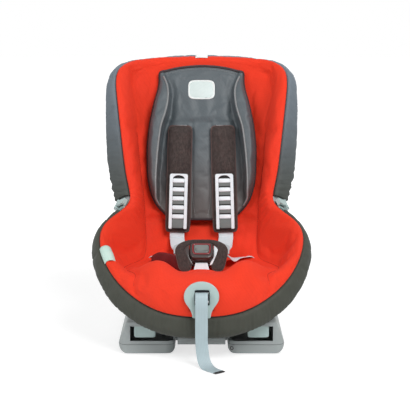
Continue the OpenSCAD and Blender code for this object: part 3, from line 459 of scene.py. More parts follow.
def puffed(grid: Array, out: Array, sewn: Array, pressure: float, cap_mm: float, slack: float = 0.0) -> Array:
    """Swells cloth between its sewn lines by a cloth simulation.

    Args:
        grid: rows by columns of points of the cloth, in millimetres; points that coincide are one.
        out: direction out of the cloth, one or one for each point.
        sewn: how firmly each point is held, from 0 to 1.
        pressure: air pressure from inside.
        cap_mm: furthest that a point may move.
        slack: share by which the cloth is cut larger than the form under it, which gives folds.

    Returns:
        The swollen grid.
    """
    rows, columns = grid.shape[:2]
    flat, out, sewn = grid.reshape(-1, 3), np.broadcast_to(out, grid.shape), np.broadcast_to(sewn, grid.shape[:2])
    _, first, where = np.unique(np.round(flat, 2), axis=0, return_index=True, return_inverse=True)
    where = where.ravel()
    faces = [tuple(dict.fromkeys(where[list(f)].tolist())) for f in grid_faces(rows, columns)]
    faces = [f for f in faces if len(f) > 2]
    corner = flat[first]
    sample = np.array(faces[len(faces) // 2][:3])
    facing = np.cross(corner[sample[1]] - corner[sample[0]], corner[sample[2]] - corner[sample[0]])
    if facing @ out.reshape(-1, 3)[first][sample[0]] < 0:
        faces = [f[::-1] for f in faces]
    mesh = bpy.data.meshes.new("swelling")
    mesh.from_pydata((corner * MM).tolist(), [], faces)
    piece = bpy.data.objects.new("swelling", mesh)
    scene = bpy.context.scene
    scene.collection.objects.link(piece)
    held = np.round(np.clip(sewn.reshape(-1)[first], 0, 1), 2)
    group = piece.vertex_groups.new(name="sewn")
    for level in np.unique(held):
        group.add(np.flatnonzero(held == level).tolist(), float(level), "REPLACE")
    tool = piece.modifiers.new("cloth", "CLOTH")
    for key, value in {**CLOTH, "uniform_pressure_force": pressure, "shrink_min": -slack}.items():
        setattr(tool.settings, key, value)
    tool.settings.effector_weights.gravity = 0
    tool.collision_settings.use_collision = False
    for number in range(SWELL_FRAMES):
        scene.frame_set(number + 1)
    result = piece.evaluated_get(bpy.context.evaluated_depsgraph_get()).to_mesh()
    move = np.nan_to_num(np.array([v.co for v in result.vertices]) / MM - corner)
    scene.frame_set(1)
    bpy.data.objects.remove(piece)
    size = np.linalg.norm(move, axis=1, keepdims=True)
    move *= np.tanh(size / cap_mm) * cap_mm / np.maximum(size, 1e-9)
    return (corner + move)[where].reshape(grid.shape)


def grid_normals(grid: Array) -> Array:
    """Directions out of a grid of points, by its neighbours."""
    return unit(np.cross(np.gradient(grid, axis=0), np.gradient(grid, axis=1)))


# Finishes


class Slot(Enum):
    """The record's material slots."""

    GREY_PLASTIC = "grey_plastic"
    PALE_PLASTIC = "pale_plastic"
    WHITE_PLASTIC = "white_plastic"
    DARK_PLASTIC = "dark_plastic"
    BUTTON = "button_plastic"
    RUBBER = "black_rubber"
    STEEL = "steel"
    RED_CLOTH = "red_cloth"
    GREY_CLOTH = "grey_cloth"
    DARK_CLOTH = "dark_cloth"
    PLUSH = "plush"
    WEBBING = "webbing"
    WHITE_CLOTH = "white_cloth"


def add_node(tree: Tree, kind: str, inputs: dict[str | int, Any] | None = None, **settings: Any) -> Node:
    """Adds a shader node with its settings and links.

    Args:
        tree: the material's node tree.
        kind: the node's type, without its first word.
        inputs: for each input, a socket to link or a value to set.
        settings: attributes to set on the node.

    Returns:
        The node.
    """
    node = tree.nodes.new("ShaderNode" + kind)
    for key, value in settings.items():
        setattr(node, key, value)
    for key, value in (inputs or {}).items():
        socket = node.inputs[key]
        if isinstance(value, Socket):
            tree.links.new(value, socket)
        else:
            socket.default_value = value
    return node


def fresh_tree(owner: bpy.types.Material | bpy.types.World) -> Tree:
    """Gives a new material or world an empty node tree.

    Args:
        owner: the material or world.

    Returns:
        The tree.
    """
    owner.use_nodes = True
    owner.node_tree.nodes.clear()
    return owner.node_tree


def per_metre(size_mm: float) -> float:
    """Texture scale at which one period of the pattern is that size."""
    return 1 / (size_mm * MM)


@dataclass(frozen=True)
class Finish:
    """A surface: two close colours that drift into each other, and a fine relief.

    The relief's grain is drawn coarser than the real one where that is too fine to show in the render.
    """

    name: str
    slot: Slot
    colour: str
    shade: str
    roughness: float
    drift_mm: float = 60.0
    grain_mm: float = 1.2
    relief_mm: float = 0.05
    sheen: float = 0.0
    metallic: float = 0.0
    coat: float = 0.0
    ior: float = 1.5

    def material(self) -> bpy.types.Material:
        """Makes the finish's material, once.

        Returns:
            The material.
        """
        found = bpy.data.materials.get(self.name)
        if found is not None:
            return found
        made = bpy.data.materials.new(self.name)
        tree = fresh_tree(made)
        spot = add_node(tree, "TexCoord")
        drift = add_node(tree, "TexNoise", {
            "Vector": spot.outputs["Object"], "Scale": per_metre(self.drift_mm), "Detail": 3.0}).outputs["Fac"]
        height, tone = self.relief(tree, spot)
        blend = add_node(tree, "Math", {0: drift, 1: 0.7, 2: tone}, operation="MULTIPLY_ADD", use_clamp=True)
        colour = self.tint(tree, spot, blend.outputs[0])
        rough = add_node(tree, "MapRange", {
            "Value": drift, "To Min": self.roughness * 0.85, "To Max": min(1.0, self.roughness * 1.15)})
        relief = add_node(tree, "Bump", {"Height": height, "Distance": self.relief_mm * MM, "Strength": 1.0})
        values = {"Base Color": colour, "Roughness": rough.outputs[0], "Normal": relief.outputs[0],
                  "Metallic": self.metallic, "Coat Weight": self.coat}
        if not self.metallic:
            values["IOR"] = self.ior
        if self.sheen:
            values |= {"Sheen Weight": self.sheen, "Sheen Roughness": 0.4, "Sheen Tint": linear_colour(self.colour)}
        shader = add_node(tree, "BsdfPrincipled", values)
        add_node(tree, "OutputMaterial", {"Surface": shader.outputs[0]})
        return made

    def tint(self, tree: Tree, spot: Node, blend: Any) -> Any:
        """The colour all over the surface, by the share of the lighter colour."""
        inputs = {"Factor": blend, 6: linear_colour(self.shade), 7: linear_colour(self.colour)}
        return add_node(tree, "Mix", inputs, data_type="RGBA").outputs[2]

    def relief(self, tree: Tree, spot: Node) -> tuple[Any, Any]:
        """The grain's height and the tone that goes with it, each a socket or a number."""
        inputs = {"Vector": spot.outputs["Object"], "Scale": per_metre(self.grain_mm), "Detail": 2.0}
        return add_node(tree, "TexNoise", inputs).outputs["Fac"], 0.15


@dataclass(frozen=True)
class Woven(Finish):
    """Woven polyester over foam: two sets of threads cross, which gives a fine matt grid and a soft sheen."""

    thread_mm: float = 2.4

    def relief(self, tree: Tree, spot: Node) -> tuple[Any, Any]:
        """Threads along two slanted directions; the higher one shows.

        Args:
            tree: the node tree.
            spot: the texture coordinates.

        Returns:
            The height's socket and the tone's.
        """
        threads = []
        for turn in (0.6, -0.9):
            slant = add_node(tree, "Mapping", {
                "Vector": spot.outputs["Object"], "Rotation": (turn, 0.5 * turn, turn)})
            threads.append(add_node(tree, "TexWave", {
                "Vector": slant.outputs[0], "Distortion": 1.5, "Detail": 1.0,
                "Scale": per_metre(self.thread_mm) / 20 * math.pi}).outputs["Fac"])
        top = add_node(tree, "Math", dict(enumerate(threads)), operation="MAXIMUM").outputs[0]
        return top, add_node(tree, "Math", {0: top, 1: 0.3}, operation="MULTIPLY").outputs[0]


@dataclass(frozen=True)
class PaintedShadeWoven(Woven):
    """Woven cloth with painted shade: its colour turns browner and darker low down, where less light reaches it."""

    low_shade_colour: str = "#4d4644"
    span_mm: Two = (225.0, 430.0)

    def tint(self, tree: Tree, spot: Node, blend: Any) -> Any:
        """The colour above, and painted shade that makes it darker and browner below.

        Args:
            tree: the node tree.
            spot: the texture coordinates.
            blend: share of the lighter colour.

        Returns:
            The colour's socket.
        """
        upper_colour = super().tint(tree, spot, blend)
        # Painted shade: by height, the colour is mixed towards the darker low colour below span_mm.
        height = add_node(tree, "SeparateXYZ", {0: spot.outputs["Object"]}).outputs["Z"]
        low, high = np.array(self.span_mm) * MM
        share = add_node(tree, "MapRange", {"Value": height, "From Min": low, "From Max": high},
                         interpolation_type="SMOOTHSTEP")
        inputs = {"Factor": share.outputs[0], 6: linear_colour(self.low_shade_colour), 7: upper_colour}
        return add_node(tree, "Mix", inputs, data_type="RGBA").outputs[2]


@dataclass(frozen=True)
class Plush(Finish):
    """Short-pile plush: brushed tufts lean one way and another, which gives patches of light and dark."""

    tuft_mm: float = 4.0

    # How the tufts are drawn out and turned.
    LEAN = {"Scale": (1.0, 1.0, 0.45), "Rotation": (0.2, 0.5, 0.3)}

    def relief(self, tree: Tree, spot: Node) -> tuple[Any, Any]:
        """Tufts as stretched noise over fine pile.

        Args:
            tree: the node tree.
            spot: the texture coordinates.

        Returns:
            The height's socket and the tone's.
        """
        lean = add_node(tree, "Mapping", {"Vector": spot.outputs["Object"], **self.LEAN})
        tuft = add_node(tree, "TexNoise", {
            "Vector": lean.outputs[0], "Scale": per_metre(self.tuft_mm), "Detail": 6.0,
            "Roughness": 0.7}).outputs["Fac"]
        tone = add_node(tree, "MapRange", {
            "Value": tuft, "From Min": 0.4, "From Max": 0.7, "To Min": -0.2, "To Max": 0.5})
        return tuft, tone.outputs[0]


@dataclass(frozen=True)
class Webbing(Finish):
    """Woven polyester webbing: ribs run along it, crossed by a fine weft, with tight selvedges."""

    rib_mm: float = 3.0
    weft_mm: float = 2.4

    def relief(self, tree: Tree, spot: Node) -> tuple[Any, Any]:
        """Ribs across the UV map's width, weft along its length.

        Args:
            tree: the node tree.
            spot: the texture coordinates.

        Returns:
            The height's socket and the tone's.
        """
        rib, weft = [add_node(tree, "TexWave", {
            "Vector": spot.outputs["UV"], "Scale": math.pi / (10 * size)}, bands_direction=way).outputs["Fac"]
            for way, size in (("X", self.rib_mm), ("Y", self.weft_mm))]
        both = add_node(tree, "Math", {0: weft, 1: 0.45, 2: rib}, operation="MULTIPLY_ADD").outputs[0]
        return both, add_node(tree, "Math", {0: both, 1: 0.25}, operation="MULTIPLY").outputs[0]


@dataclass(frozen=True)
class Brushed(Finish):
    """Zinc-plated or brushed steel: fine lines drawn one way, which stretch the highlights across them."""

    def relief(self, tree: Tree, spot: Node) -> tuple[Any, Any]:
        """Lines along z.

        Args:
            tree: the node tree.
            spot: the texture coordinates.

        Returns:
            The height's socket and the tone.
        """
        drawn = add_node(tree, "Mapping", {"Vector": spot.outputs["Object"], "Scale": (1.0, 1.0, 0.04)})
        lines = add_node(tree, "TexNoise", {
            "Vector": drawn.outputs[0], "Scale": per_metre(self.grain_mm), "Detail": 2.0})
        return lines.outputs["Fac"], 0.2


# Red polyester jersey on foam: matt, with a faint fleecy sheen along its edges.
RED_JERSEY = Woven("polyester_jersey_red", Slot.RED_CLOTH, "#ee3714", "#e22f10", 0.85, 90, sheen=0.06)
# Warm grey woven polyester of the borders: a denser, slightly shiny weave, with painted shade that darkens it low
# down.
GREY_WEAVE = PaintedShadeWoven("woven_polyester_grey", Slot.GREY_CLOTH, "#737e88", "#636d76", 0.7, 70, relief_mm=0.08,
                    sheen=0.3, low_shade_colour="#36382f", span_mm=(230.0, 590.0))
# Charcoal satin weave of the insert: smoother threads, so it catches broad soft highlights; painted shade makes it
# browner and darker low down.
CHARCOAL_SATIN = PaintedShadeWoven("satin_weave_charcoal", Slot.DARK_CLOTH, "#515a5f", "#444b4f", 0.52, 80, sheen=0.25)
# Satin bias tape of the piping and bindings: paler where the cord inside stretches it.
PIPING_TAPE = Woven("bias_tape_grey", Slot.DARK_CLOTH, "#8d9191", "#75787a", 0.6, 30, relief_mm=0.04,
                    sheen=0.2, thread_mm=1.6)
# The same tape in near black, sewn round the insert: real piping whose near-black colour is partly painted shade, the
# contact shadow along the insert's edge against the red.
SHADOW_DARK_TAPE = Woven("bias_tape_dark_shadow", Slot.DARK_CLOTH, "#352a2d", "#261d20", 0.7, 25, relief_mm=0.04, sheen=0.1,
                  thread_mm=1.6)
# Dark brown binding of the chest pads: the same matt tape.
BROWN_TAPE = Woven("bias_tape_brown", Slot.PLUSH, "#5a4340", "#42302d", 0.7, 25, relief_mm=0.04, sheen=0.2,
                   thread_mm=1.6)
# Brown short-pile plush of the chest and crotch pads: deep and soft, with light and dark tufts.
BROWN_PLUSH = Plush("short_pile_plush_brown", Slot.PLUSH, "#504340", "#271f1d", 0.95, 18, relief_mm=1.1,
                    sheen=0.35)
# Silver-grey polyester webbing: ribbed, with a silky shine along it. This harness copy is painted lighter than the
# free end's copy below: painted light.
SILVER_WEBBING = Webbing("polyester_webbing_silver", Slot.WEBBING, "#ecf3f7", "#c6d3d9", 0.5, 50,
                         relief_mm=0.15, sheen=0.1)
# The same webbing, greyer and duller, on the free end: the darker copy of one material, painted shade.
SHADED_WEBBING = Webbing("polyester_webbing_shaded", Slot.WEBBING, "#b9ccd1", "#98a9af", 0.55, 50,
                          relief_mm=0.15, sheen=0.1)
# Red jersey of the cover's lining, coloured deep maroon: painted shade of the red cloth under the left lap strap.
SHADED_RED_JERSEY = Woven("polyester_jersey_red_shaded", Slot.RED_CLOTH, "#6d1216", "#4d0d10", 0.85, 40)
# Satin-weave label cloth, white, pale grey and mint: fine and slightly shiny.
LABEL_WHITE, LABEL_GROUND, LABEL_MINT = (
    Woven(f"satin_label_{word}", Slot.WHITE_CLOTH, *look, relief_mm=0.03, thread_mm=1.4) for word, *look in (
        ("white", "#f4f7f6", "#e6ecea", 0.5, 20), ("grey", "#d6e2e0", "#c2cfcc", 0.45, 9),
        ("mint", "#cfe6dd", "#b4d2c6", 0.55, 20)))
# Polypropylene of the shell and base: moulded with a fine spark texture, so matt and even.
GREY_PP = Finish("moulded_polypropylene_grey", Slot.GREY_PLASTIC, "#a3a9a8", "#92999a", 0.5, 120, 1.6, 0.03)
# Smoother ABS of the levers and the adjuster plate, with a silky gloss.
PALE_ABS = Finish("moulded_abs_pale", Slot.PALE_PLASTIC, "#b0c5c3", "#a2b6b4", 0.36, 60, 1.2, 0.012, coat=0.1)
# White nylon of the grip ladders: smooth and faintly waxy.
WHITE_NYLON = Finish("moulded_nylon_white", Slot.WHITE_PLASTIC, "#e8eef2", "#d8e1e6", 0.35, 30, 1.0, 0.01)
# Soft grey elastomer between the rungs: dull and slightly grained.
GREY_RUBBER = Finish("moulded_elastomer_grey", Slot.DARK_PLASTIC, "#6d7271", "#5a5f5e", 0.6, 20, 1.0, 0.03)
# Dark nylon of the buckle's body: smooth, with a soft gloss.
DARK_NYLON = Finish("moulded_nylon_dark", Slot.DARK_PLASTIC, "#3f3331", "#2e2524", 0.35, 30, 1.0, 0.015,
                    coat=0.15)
# Glossy ABS of the button, and its dark red rim.
BUTTON_ABS = Finish("glossy_abs_grey", Slot.BUTTON, "#7c8381", "#676e6c", 0.12, 30, 1.0, 0.004, coat=0.6)
RED_ABS = Finish("glossy_abs_dark_red", Slot.DARK_PLASTIC, "#8e2328", "#75191f", 0.25, 30, 1.0, 0.006, coat=0.4)
# Black moulded rubber of the foot pads and the webbing's end tab: it takes almost no light.
BLACK_RUBBER = Finish("moulded_rubber_black", Slot.RUBBER, "#232323", "#191919", 0.75, 30, 1.0, 0.05)
# Zinc-plated steel of tongues, pins and springs: pale, with drawn-out highlights.
PLATED_STEEL = Brushed("zinc_plated_steel", Slot.STEEL, "#c4c8ca", "#a6abae", 0.32, 40, 0.8, 0.01, metallic=1.0)
# Phosphated steel of the adjuster's bracket and cam: a dark dull grey.
PHOSPHATED_STEEL = Brushed("phosphated_steel", Slot.STEEL, "#34363a", "#26282b", 0.45, 30, 0.8, 0.01,
                           metallic=1.0)
# Polyester sewing thread, dark, pale and red: twisted, so it barely shines.
DARK_THREAD = Finish("polyester_thread_dark", Slot.RED_CLOTH, "#3c2f2d", "#2d2322", 0.8, 10, 0.8, 0.03)
PALE_THREAD = Finish("polyester_thread_pale", Slot.DARK_CLOTH, "#a9adad", "#8f9494", 0.8, 10, 0.8, 0.03)
RED_THREAD = Finish("polyester_thread_red", Slot.RED_CLOTH, "#a51f10", "#8c180c", 0.8, 10, 0.8, 0.03)


def paint(piece: Piece, finish: Finish) -> None:
    """Gives a piece its finish's material alone."""
    piece.data.materials.clear()
    piece.data.materials.append(finish.material())


def dress(piece: Piece, finish: Finish, replaces: str | None = None, body: str | None = "seat",
          slot: Slot | None = None) -> Piece:
    """Gives a piece its finish and the body it moves with, and hides the CAD node that it stands for.

    Args:
        piece: the piece.
        finish: its surface.
        replaces: the CAD node that it stands for, if any.
        body: the CAD body it rides on, or None where it spans two bodies and rides on neither.
        slot: not used.

    Returns:
        The same piece.
    """
    paint(piece, finish)
    if body is not None:
        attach(piece, body)
    if replaces:
        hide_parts(replaces)
    LOG.info("%s: %s, %d points", piece.name, finish.name, len(piece.data.vertices))
    return piece


def coat(node: str, finish: Finish) -> None:
    """Gives a CAD node that stays in view its finish."""
    paint(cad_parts[node], finish)
    LOG.info("%s keeps its solid: %s", node, finish.name)


# The bucket and what lies on it


@dataclass
class Bucket:
    """The smooth net that the shell, the cover and the borders lie on, in millimetres.

    Ribs run from a spine in the middle plane (t = 0) out over the crest to the rim (t = LAST_T). Stations
    follow each other from the front (a = 0) under the child and up the back to the top (a = LAST_A).
    """

    arm_width: float = 432.0
    arm_height: float = 258.0
    waist_width: float = 280.0
    wing_width: float = 384.0
    wing_depth: float = 119.0
    back_length: float = 414.0
    back_rake: float = 19.0
    front_reach: float = 242.0
    front_height: float = 152.0
    pan_height: float = 118.0
    shell_wall: float = 4.5
    crest_round: float = 17.0
    bight_y: float = 96.0
    bight_z: float = 196.0
    net: Array = field(init=False)

    LAST_A, LAST_T = 12, 4
    # Where along the ribs the cover is sewn to the borders.
    SEAM = 3.2
    # Step of the slopes, and how often a search halves its span.
    STEP, HALVINGS = 0.01, 17

    def __post_init__(self) -> None:
        """Works out the net's control points."""
        front, arm, wing, depth = self.front_reach, self.arm_width / 2, self.wing_width / 2, self.wing_depth
        waist, length, upright = self.waist_width / 2, self.back_length, 90 - self.back_rake
        back = self.back_point
        stations = [
            ((0, 78 - front, self.front_height), (0, -front, 104), 0, 54, 0),
            ((0, 83 - front, self.front_height), (78, 6 - front, 108), 2, 54, 0),
            ((0, 100 - front, self.front_height - 5), (arm - 66, 50 - front, 146), 12, 58, 0),
            ((0, -112, self.pan_height + 17), (arm - 20, -134, self.arm_height - 62), 18, 50, 0),
            ((0, -62, self.pan_height + 6), (arm, -60, self.arm_height), 16, 52, 6),
            ((0, -8, self.pan_height), (waist + 32, 4, self.arm_height + 18), 20, 40, 22),
            ((0, 46, self.pan_height + 14), (waist, 36, self.arm_height + 32), 36, 36, 48),
            (back(0, 0, 0), back(waist + 12, 117, depth - 24), 45, 46, upright),
            (back(0, 102, 0), back(wing - 30, 197, depth - 5), 42, 50, upright),
            (back(0, 212, 0), back(wing - 14, 296, depth), 29, 46, upright),
            (back(0, 318, 0), back(wing, length - 42, depth - 34), 12, 34, upright),
            (back(0, 370, 0), back(wing - 72, length - 9, 10), 4, 24, upright),
            (back(0, length - 28, 0), back(0, length, 3), 0, 24, upright)]
        ribs = [self._rib(*(np.asarray(v, float) for v in row)) for row in stations]
        self.net = np.array([ribs[1] * Side.LEFT.mirror, *ribs, ribs[-2] * Side.LEFT.mirror])

    def _rib(self, spine: Array, crest: Array, out: Array, drop: Array, lean: Array) -> Array:
        """Control points of one rib, with a phantom point at each end.

        Args:
            spine: its point in the middle plane.
            crest: its highest point.
            out: how far the rim lies outside the crest.
            drop: how far the rim lies below the crest.
            lean: how far its up direction leans back, in degrees.

        Returns:
            Seven points.
        """
        c, s = cos_sin(lean)
        up = np.array([0, -s, c])
        rise = ((crest - spine) @ up) * up
        run = crest - spine - rise
        reach = 1 - max(0.05, (self.crest_round - 0.7 * np.linalg.norm(rise)) / np.linalg.norm(run))
        flat = spine + 0.65 * reach * run
        wall = spine + reach * run + 0.3 * rise
        edge = crest + np.array([float(out), 0, 0]) - drop * up
        return np.array([flat * Side.LEFT.mirror, spine, flat, wall, crest, edge, 2 * edge - crest])

    def back_point(self, x: Any, along: Any, out: Any) -> Array:
        """A point given across, up along the back and out from it."""
        (c, s), (x, along, out) = cos_sin(self.back_rake), floats(x, along, out)
        return np.stack([x, self.bight_y + along * s - out * c, self.bight_z + along * c + out * s], -1)

    def back_axes(self, spread_deg: float = 0.0, lean_deg: float = 0.0) -> Array:
        """Rows of the directions across, up and out of the back.

        Args:
            spread_deg: turn about the out direction.
            lean_deg: extra lean.

        Returns:
            Three unit vectors.
        """
        (level, steep), (c, s) = cos_sin(self.back_rake + lean_deg), cos_sin(spread_deg)
        up = np.array([0, steep, level])
        return np.array([c * ACROSS + s * up, c * up - s * ACROSS, [0, -level, steep]])

    def point(self, a: Any, t: Any) -> Array:
        """Points of the shell's upper skin.

        Args:
            a: stations.
            t: places along the ribs; negative ones are on the left.

        Returns:
            One point for each pair.
        """
        a, t = floats(a, t)
        i = np.minimum(np.floor(a).astype(int), self.LAST_A - 1)
        j = np.minimum(np.floor(np.abs(t)).astype(int), self.LAST_T - 1)
        wa, wt = self._weights(a - i), self._weights(np.abs(t) - j)
        total = np.zeros(a.shape + (3,))
        for m in range(4):
            for q in range(4):
                total += (wa[m] * wt[q])[..., None] * self.net[i + m, j + q]
        return total * np.stack([np.where(t < 0, -1.0, 1.0), np.ones(a.shape), np.ones(a.shape)], -1)

    @staticmethod
    def _weights(f: Array) -> list[Array]:
        """Uniform cubic spline weights."""
        return [(1 - f) ** 3 / 6, (3 * f**3 - 6 * f**2 + 4) / 6, (3 * f + 3 * f**2 - 3 * f**3 + 1) / 6, f**3 / 6]

    def normal(self, a: Any, t: Any) -> Array:
        """Directions out of the upper skin.

        Args:
            a: stations.
            t: places along the ribs; negative ones are on the left.

        Returns:
            One unit vector for each pair.
        """
        a, t = floats(a, t)
        h, way = self.STEP, np.abs(t)
        da = self.point(np.minimum(a + h, self.LAST_A), way) - self.point(np.maximum(a - h, 0), way)
        dt = self.point(a, np.minimum(way + h, self.LAST_T)) - self.point(a, np.maximum(way - h, 0))
        folded = ((a <= 0) | (a >= self.LAST_A))[..., None]
        da_side = np.where(folded, np.stack([np.sign(da[..., 0]), 0 * a, 0 * a], -1), da)
        middle = np.stack([0 * a, -da[..., 2], da[..., 1]], -1)
        n = unit(np.where((way < 2 * h)[..., None], middle, np.cross(dt, da_side)))
        n[..., 0] *= np.where(t < 0, -1.0, 1.0)
        return n

    def off(self, a: Any, t: Any, distance: Any) -> Array:
        """Points at a distance out of the upper skin."""
        return self.point(a, t) + np.asarray(distance, float)[..., None] * self.normal(a, t)

    def find(self, measure: Callable[[Array], Array], goal: Any, low: float, high: float) -> Array:
        """Where a rising measure reaches each goal, by halving.

        Args:
            measure: the measure, taken at an array of places.
            goal: what it should reach.
            low: start of the search.
            high: end of the search.

        Returns:
            The places.
        """
        goal = np.asarray(goal, float)
        lows, highs = np.full(goal.shape, float(low)), np.full(goal.shape, float(high))
        for _ in range(self.HALVINGS):
            middle = (lows + highs) / 2
            below = measure(middle) < goal
            lows, highs = np.where(below, middle, lows), np.where(below, highs, middle)
        return (lows + highs) / 2

    def t_at_x(self, a: Any, x: Any) -> Array:
        """How far out along a rib x is reached."""
        a, x = floats(a, x)
        return np.where(x <= 0, 0.0, self.find(lambda t: self.point(a, t)[..., 0], x, 0, 3))

    def along_back(self, p: Array) -> Array:
        """Distance of points up along the back from the bight."""
        c, s = cos_sin(self.back_rake)
        return (p[..., 1] - self.bight_y) * s + (p[..., 2] - self.bight_z) * c

    def off_back(self, p: Array) -> Array:
        """Distance of points out from the back's plane."""
        c, s = cos_sin(self.back_rake)
        return (self.bight_y - p[..., 1]) * c + (p[..., 2] - self.bight_z) * s

    def a_at_back(self, x: Any, along: Any) -> Array:
        """The station at which the back reaches a height at a given x."""
        (x, along), last = floats(x, along), self.LAST_A - 0.02
        return self.find(lambda a: self.along_back(self.point(a, self.t_at_x(a, x))), along, 6.4, last)


BUCKET = Bucket()


def even_lines(low: float, high: float, count: int, kept: Sequence[float] = ()) -> Array:
    """Even steps between two values, with some lines kept exactly and near ones left out.

    Args:
        low: first line.
        high: last line.
        count: number of steps.
        kept: lines that have to be there.

    Returns:
        The sorted lines.
    """
    step = (high - low) / count
    lines = [x for x in np.linspace(low, high, count + 1) if all(abs(x - y) > 0.45 * step for y in kept)]
    return np.array(sorted([*lines, *[float(y) for y in kept]]))


def between(values: Array, span: Sequence[float]) -> Array:
    """Whether values lie inside a span."""
    return (values > span[0]) & (values < span[1])


def cell_middles(a: Array, t: Array) -> list[Array]:
    """Station and place along the rib, without its sign, of the middle of each cell between lines."""
    return mesh_grid((a[1:] + a[:-1]) / 2, np.abs(t[1:] + t[:-1]) / 2)


@dataclass
class Shell:
    """The moulded bucket, with its holes for webbing, adjuster and vehicle belt."""

    web_width: float = 36.0
    slot_tall: float = 14.0
    strap_x: float = 49.0
    slot_height: float = 243.0
    slot_rows: tuple[float, ...] = (-70.0, 0.0, 58.0)
    crotch_y: float = -52.0
    lap_stations: Two = (4.72, 5.3)
    lap_x: float = 116.0
    lap_wide: float = 12.0
    belt_stations: Two = (5.55, 6.35)
    belt_ts: Two = (2.1, 2.45)
    mouth_x: float = 21.0
    mouth_z: float = 104.0
    # The stiffening ribs on each side of the back: how far out, from and to along it.
    ribs: tuple[Three, ...] = ((92.0, 40.0, 345.0), (104.0, 55.0, 320.0))

    def wall_at(self, t: Array) -> Array:
        """The wall's thickness, which thins over the crest."""
        return BUCKET.shell_wall * (1 - 0.8 * bump(t, 3, 0.45))

    def mouth(self) -> Two:
        """Last station and lowest place along the rib of the hole behind the adjuster."""
        low = BUCKET.find(lambda t: -BUCKET.point(0 * t, t)[..., 2], -self.mouth_z, 0, BUCKET.LAST_T)
        return float(BUCKET.find(lambda a: BUCKET.point(a, 0 * a + 2.3)[..., 0], self.mouth_x, 0, 1.5)), float(low)

    def lap_ts(self) -> Array:
        """Both edges of a lap strap's hole along the rib."""
        return BUCKET.t_at_x(sum(self.lap_stations) / 2, self.lap_x + np.array([-0.5, 0.5]) * self.lap_wide)

    def build_ribs(self) -> None:
        """Builds the upright stiffening ribs on the shell's back."""
        for side in Side:
            for x, low, high in self.ribs:
                s = np.linspace(low, high, 60)
                a = BUCKET.a_at_back(np.full_like(s, x), s)
                t = BUCKET.t_at_x(a, np.full_like(s, x))
                route = BUCKET.off(a, t, -BUCKET.shell_wall - 1.0) * side.mirror
                dress(ribbon_piece(f"shell_rib_{side.word}_{x:.0f}", route, ACROSS, 4, 4), GREY_PP)

    def build(self) -> None:
        """Builds the shell with its holes."""
        wide = (self.web_width + 5) / 2
        ends = np.array([-0.5, 0.5]) * self.slot_tall
        slots = [BUCKET.a_at_back(self.strap_x, self.slot_height + row + ends) for row in self.slot_rows]
        slot_ts = BUCKET.t_at_x(slots[1].mean(), self.strap_x + np.array([-wide, wide]))
        crotch = BUCKET.find(lambda a: BUCKET.point(a, 0 * a)[..., 1], self.crotch_y + ends, 0, 6)
        crotch_t = float(BUCKET.t_at_x(crotch[0], wide))
        lap_ts = self.lap_ts()
        mouth_a, mouth_low = self.mouth()
        a = even_lines(0, BUCKET.LAST_A, 96, [*np.concatenate(slots), *crotch, *self.lap_stations,
                                              *self.belt_stations, mouth_a])
        half = even_lines(0, BUCKET.LAST_T, 34, [*slot_ts, crotch_t, *lap_ts, *self.belt_ts, mouth_low])
        t = np.concatenate([-half[:0:-1], half])
        am, tm = cell_middles(a, t)
        gone = between(am, crotch) & (tm < crotch_t)
        gone |= between(am, self.lap_stations) & between(tm, lap_ts)
        gone |= (am < mouth_a) & between(tm, (lap_ts[1], mouth_low))
        gone |= between(am, self.belt_stations) & between(tm, self.belt_ts)
        for slot in slots:
            gone |= between(am, slot) & between(tm, slot_ts)
        aa, tt = mesh_grid(a, t)
        low = BUCKET.off(aa, tt, -self.wall_at(np.abs(tt)))
        dress(skin_piece("shell_moulding", low, BUCKET.point(aa, tt), gone), GREY_PP, "seat_shell")


SHELL = Shell()


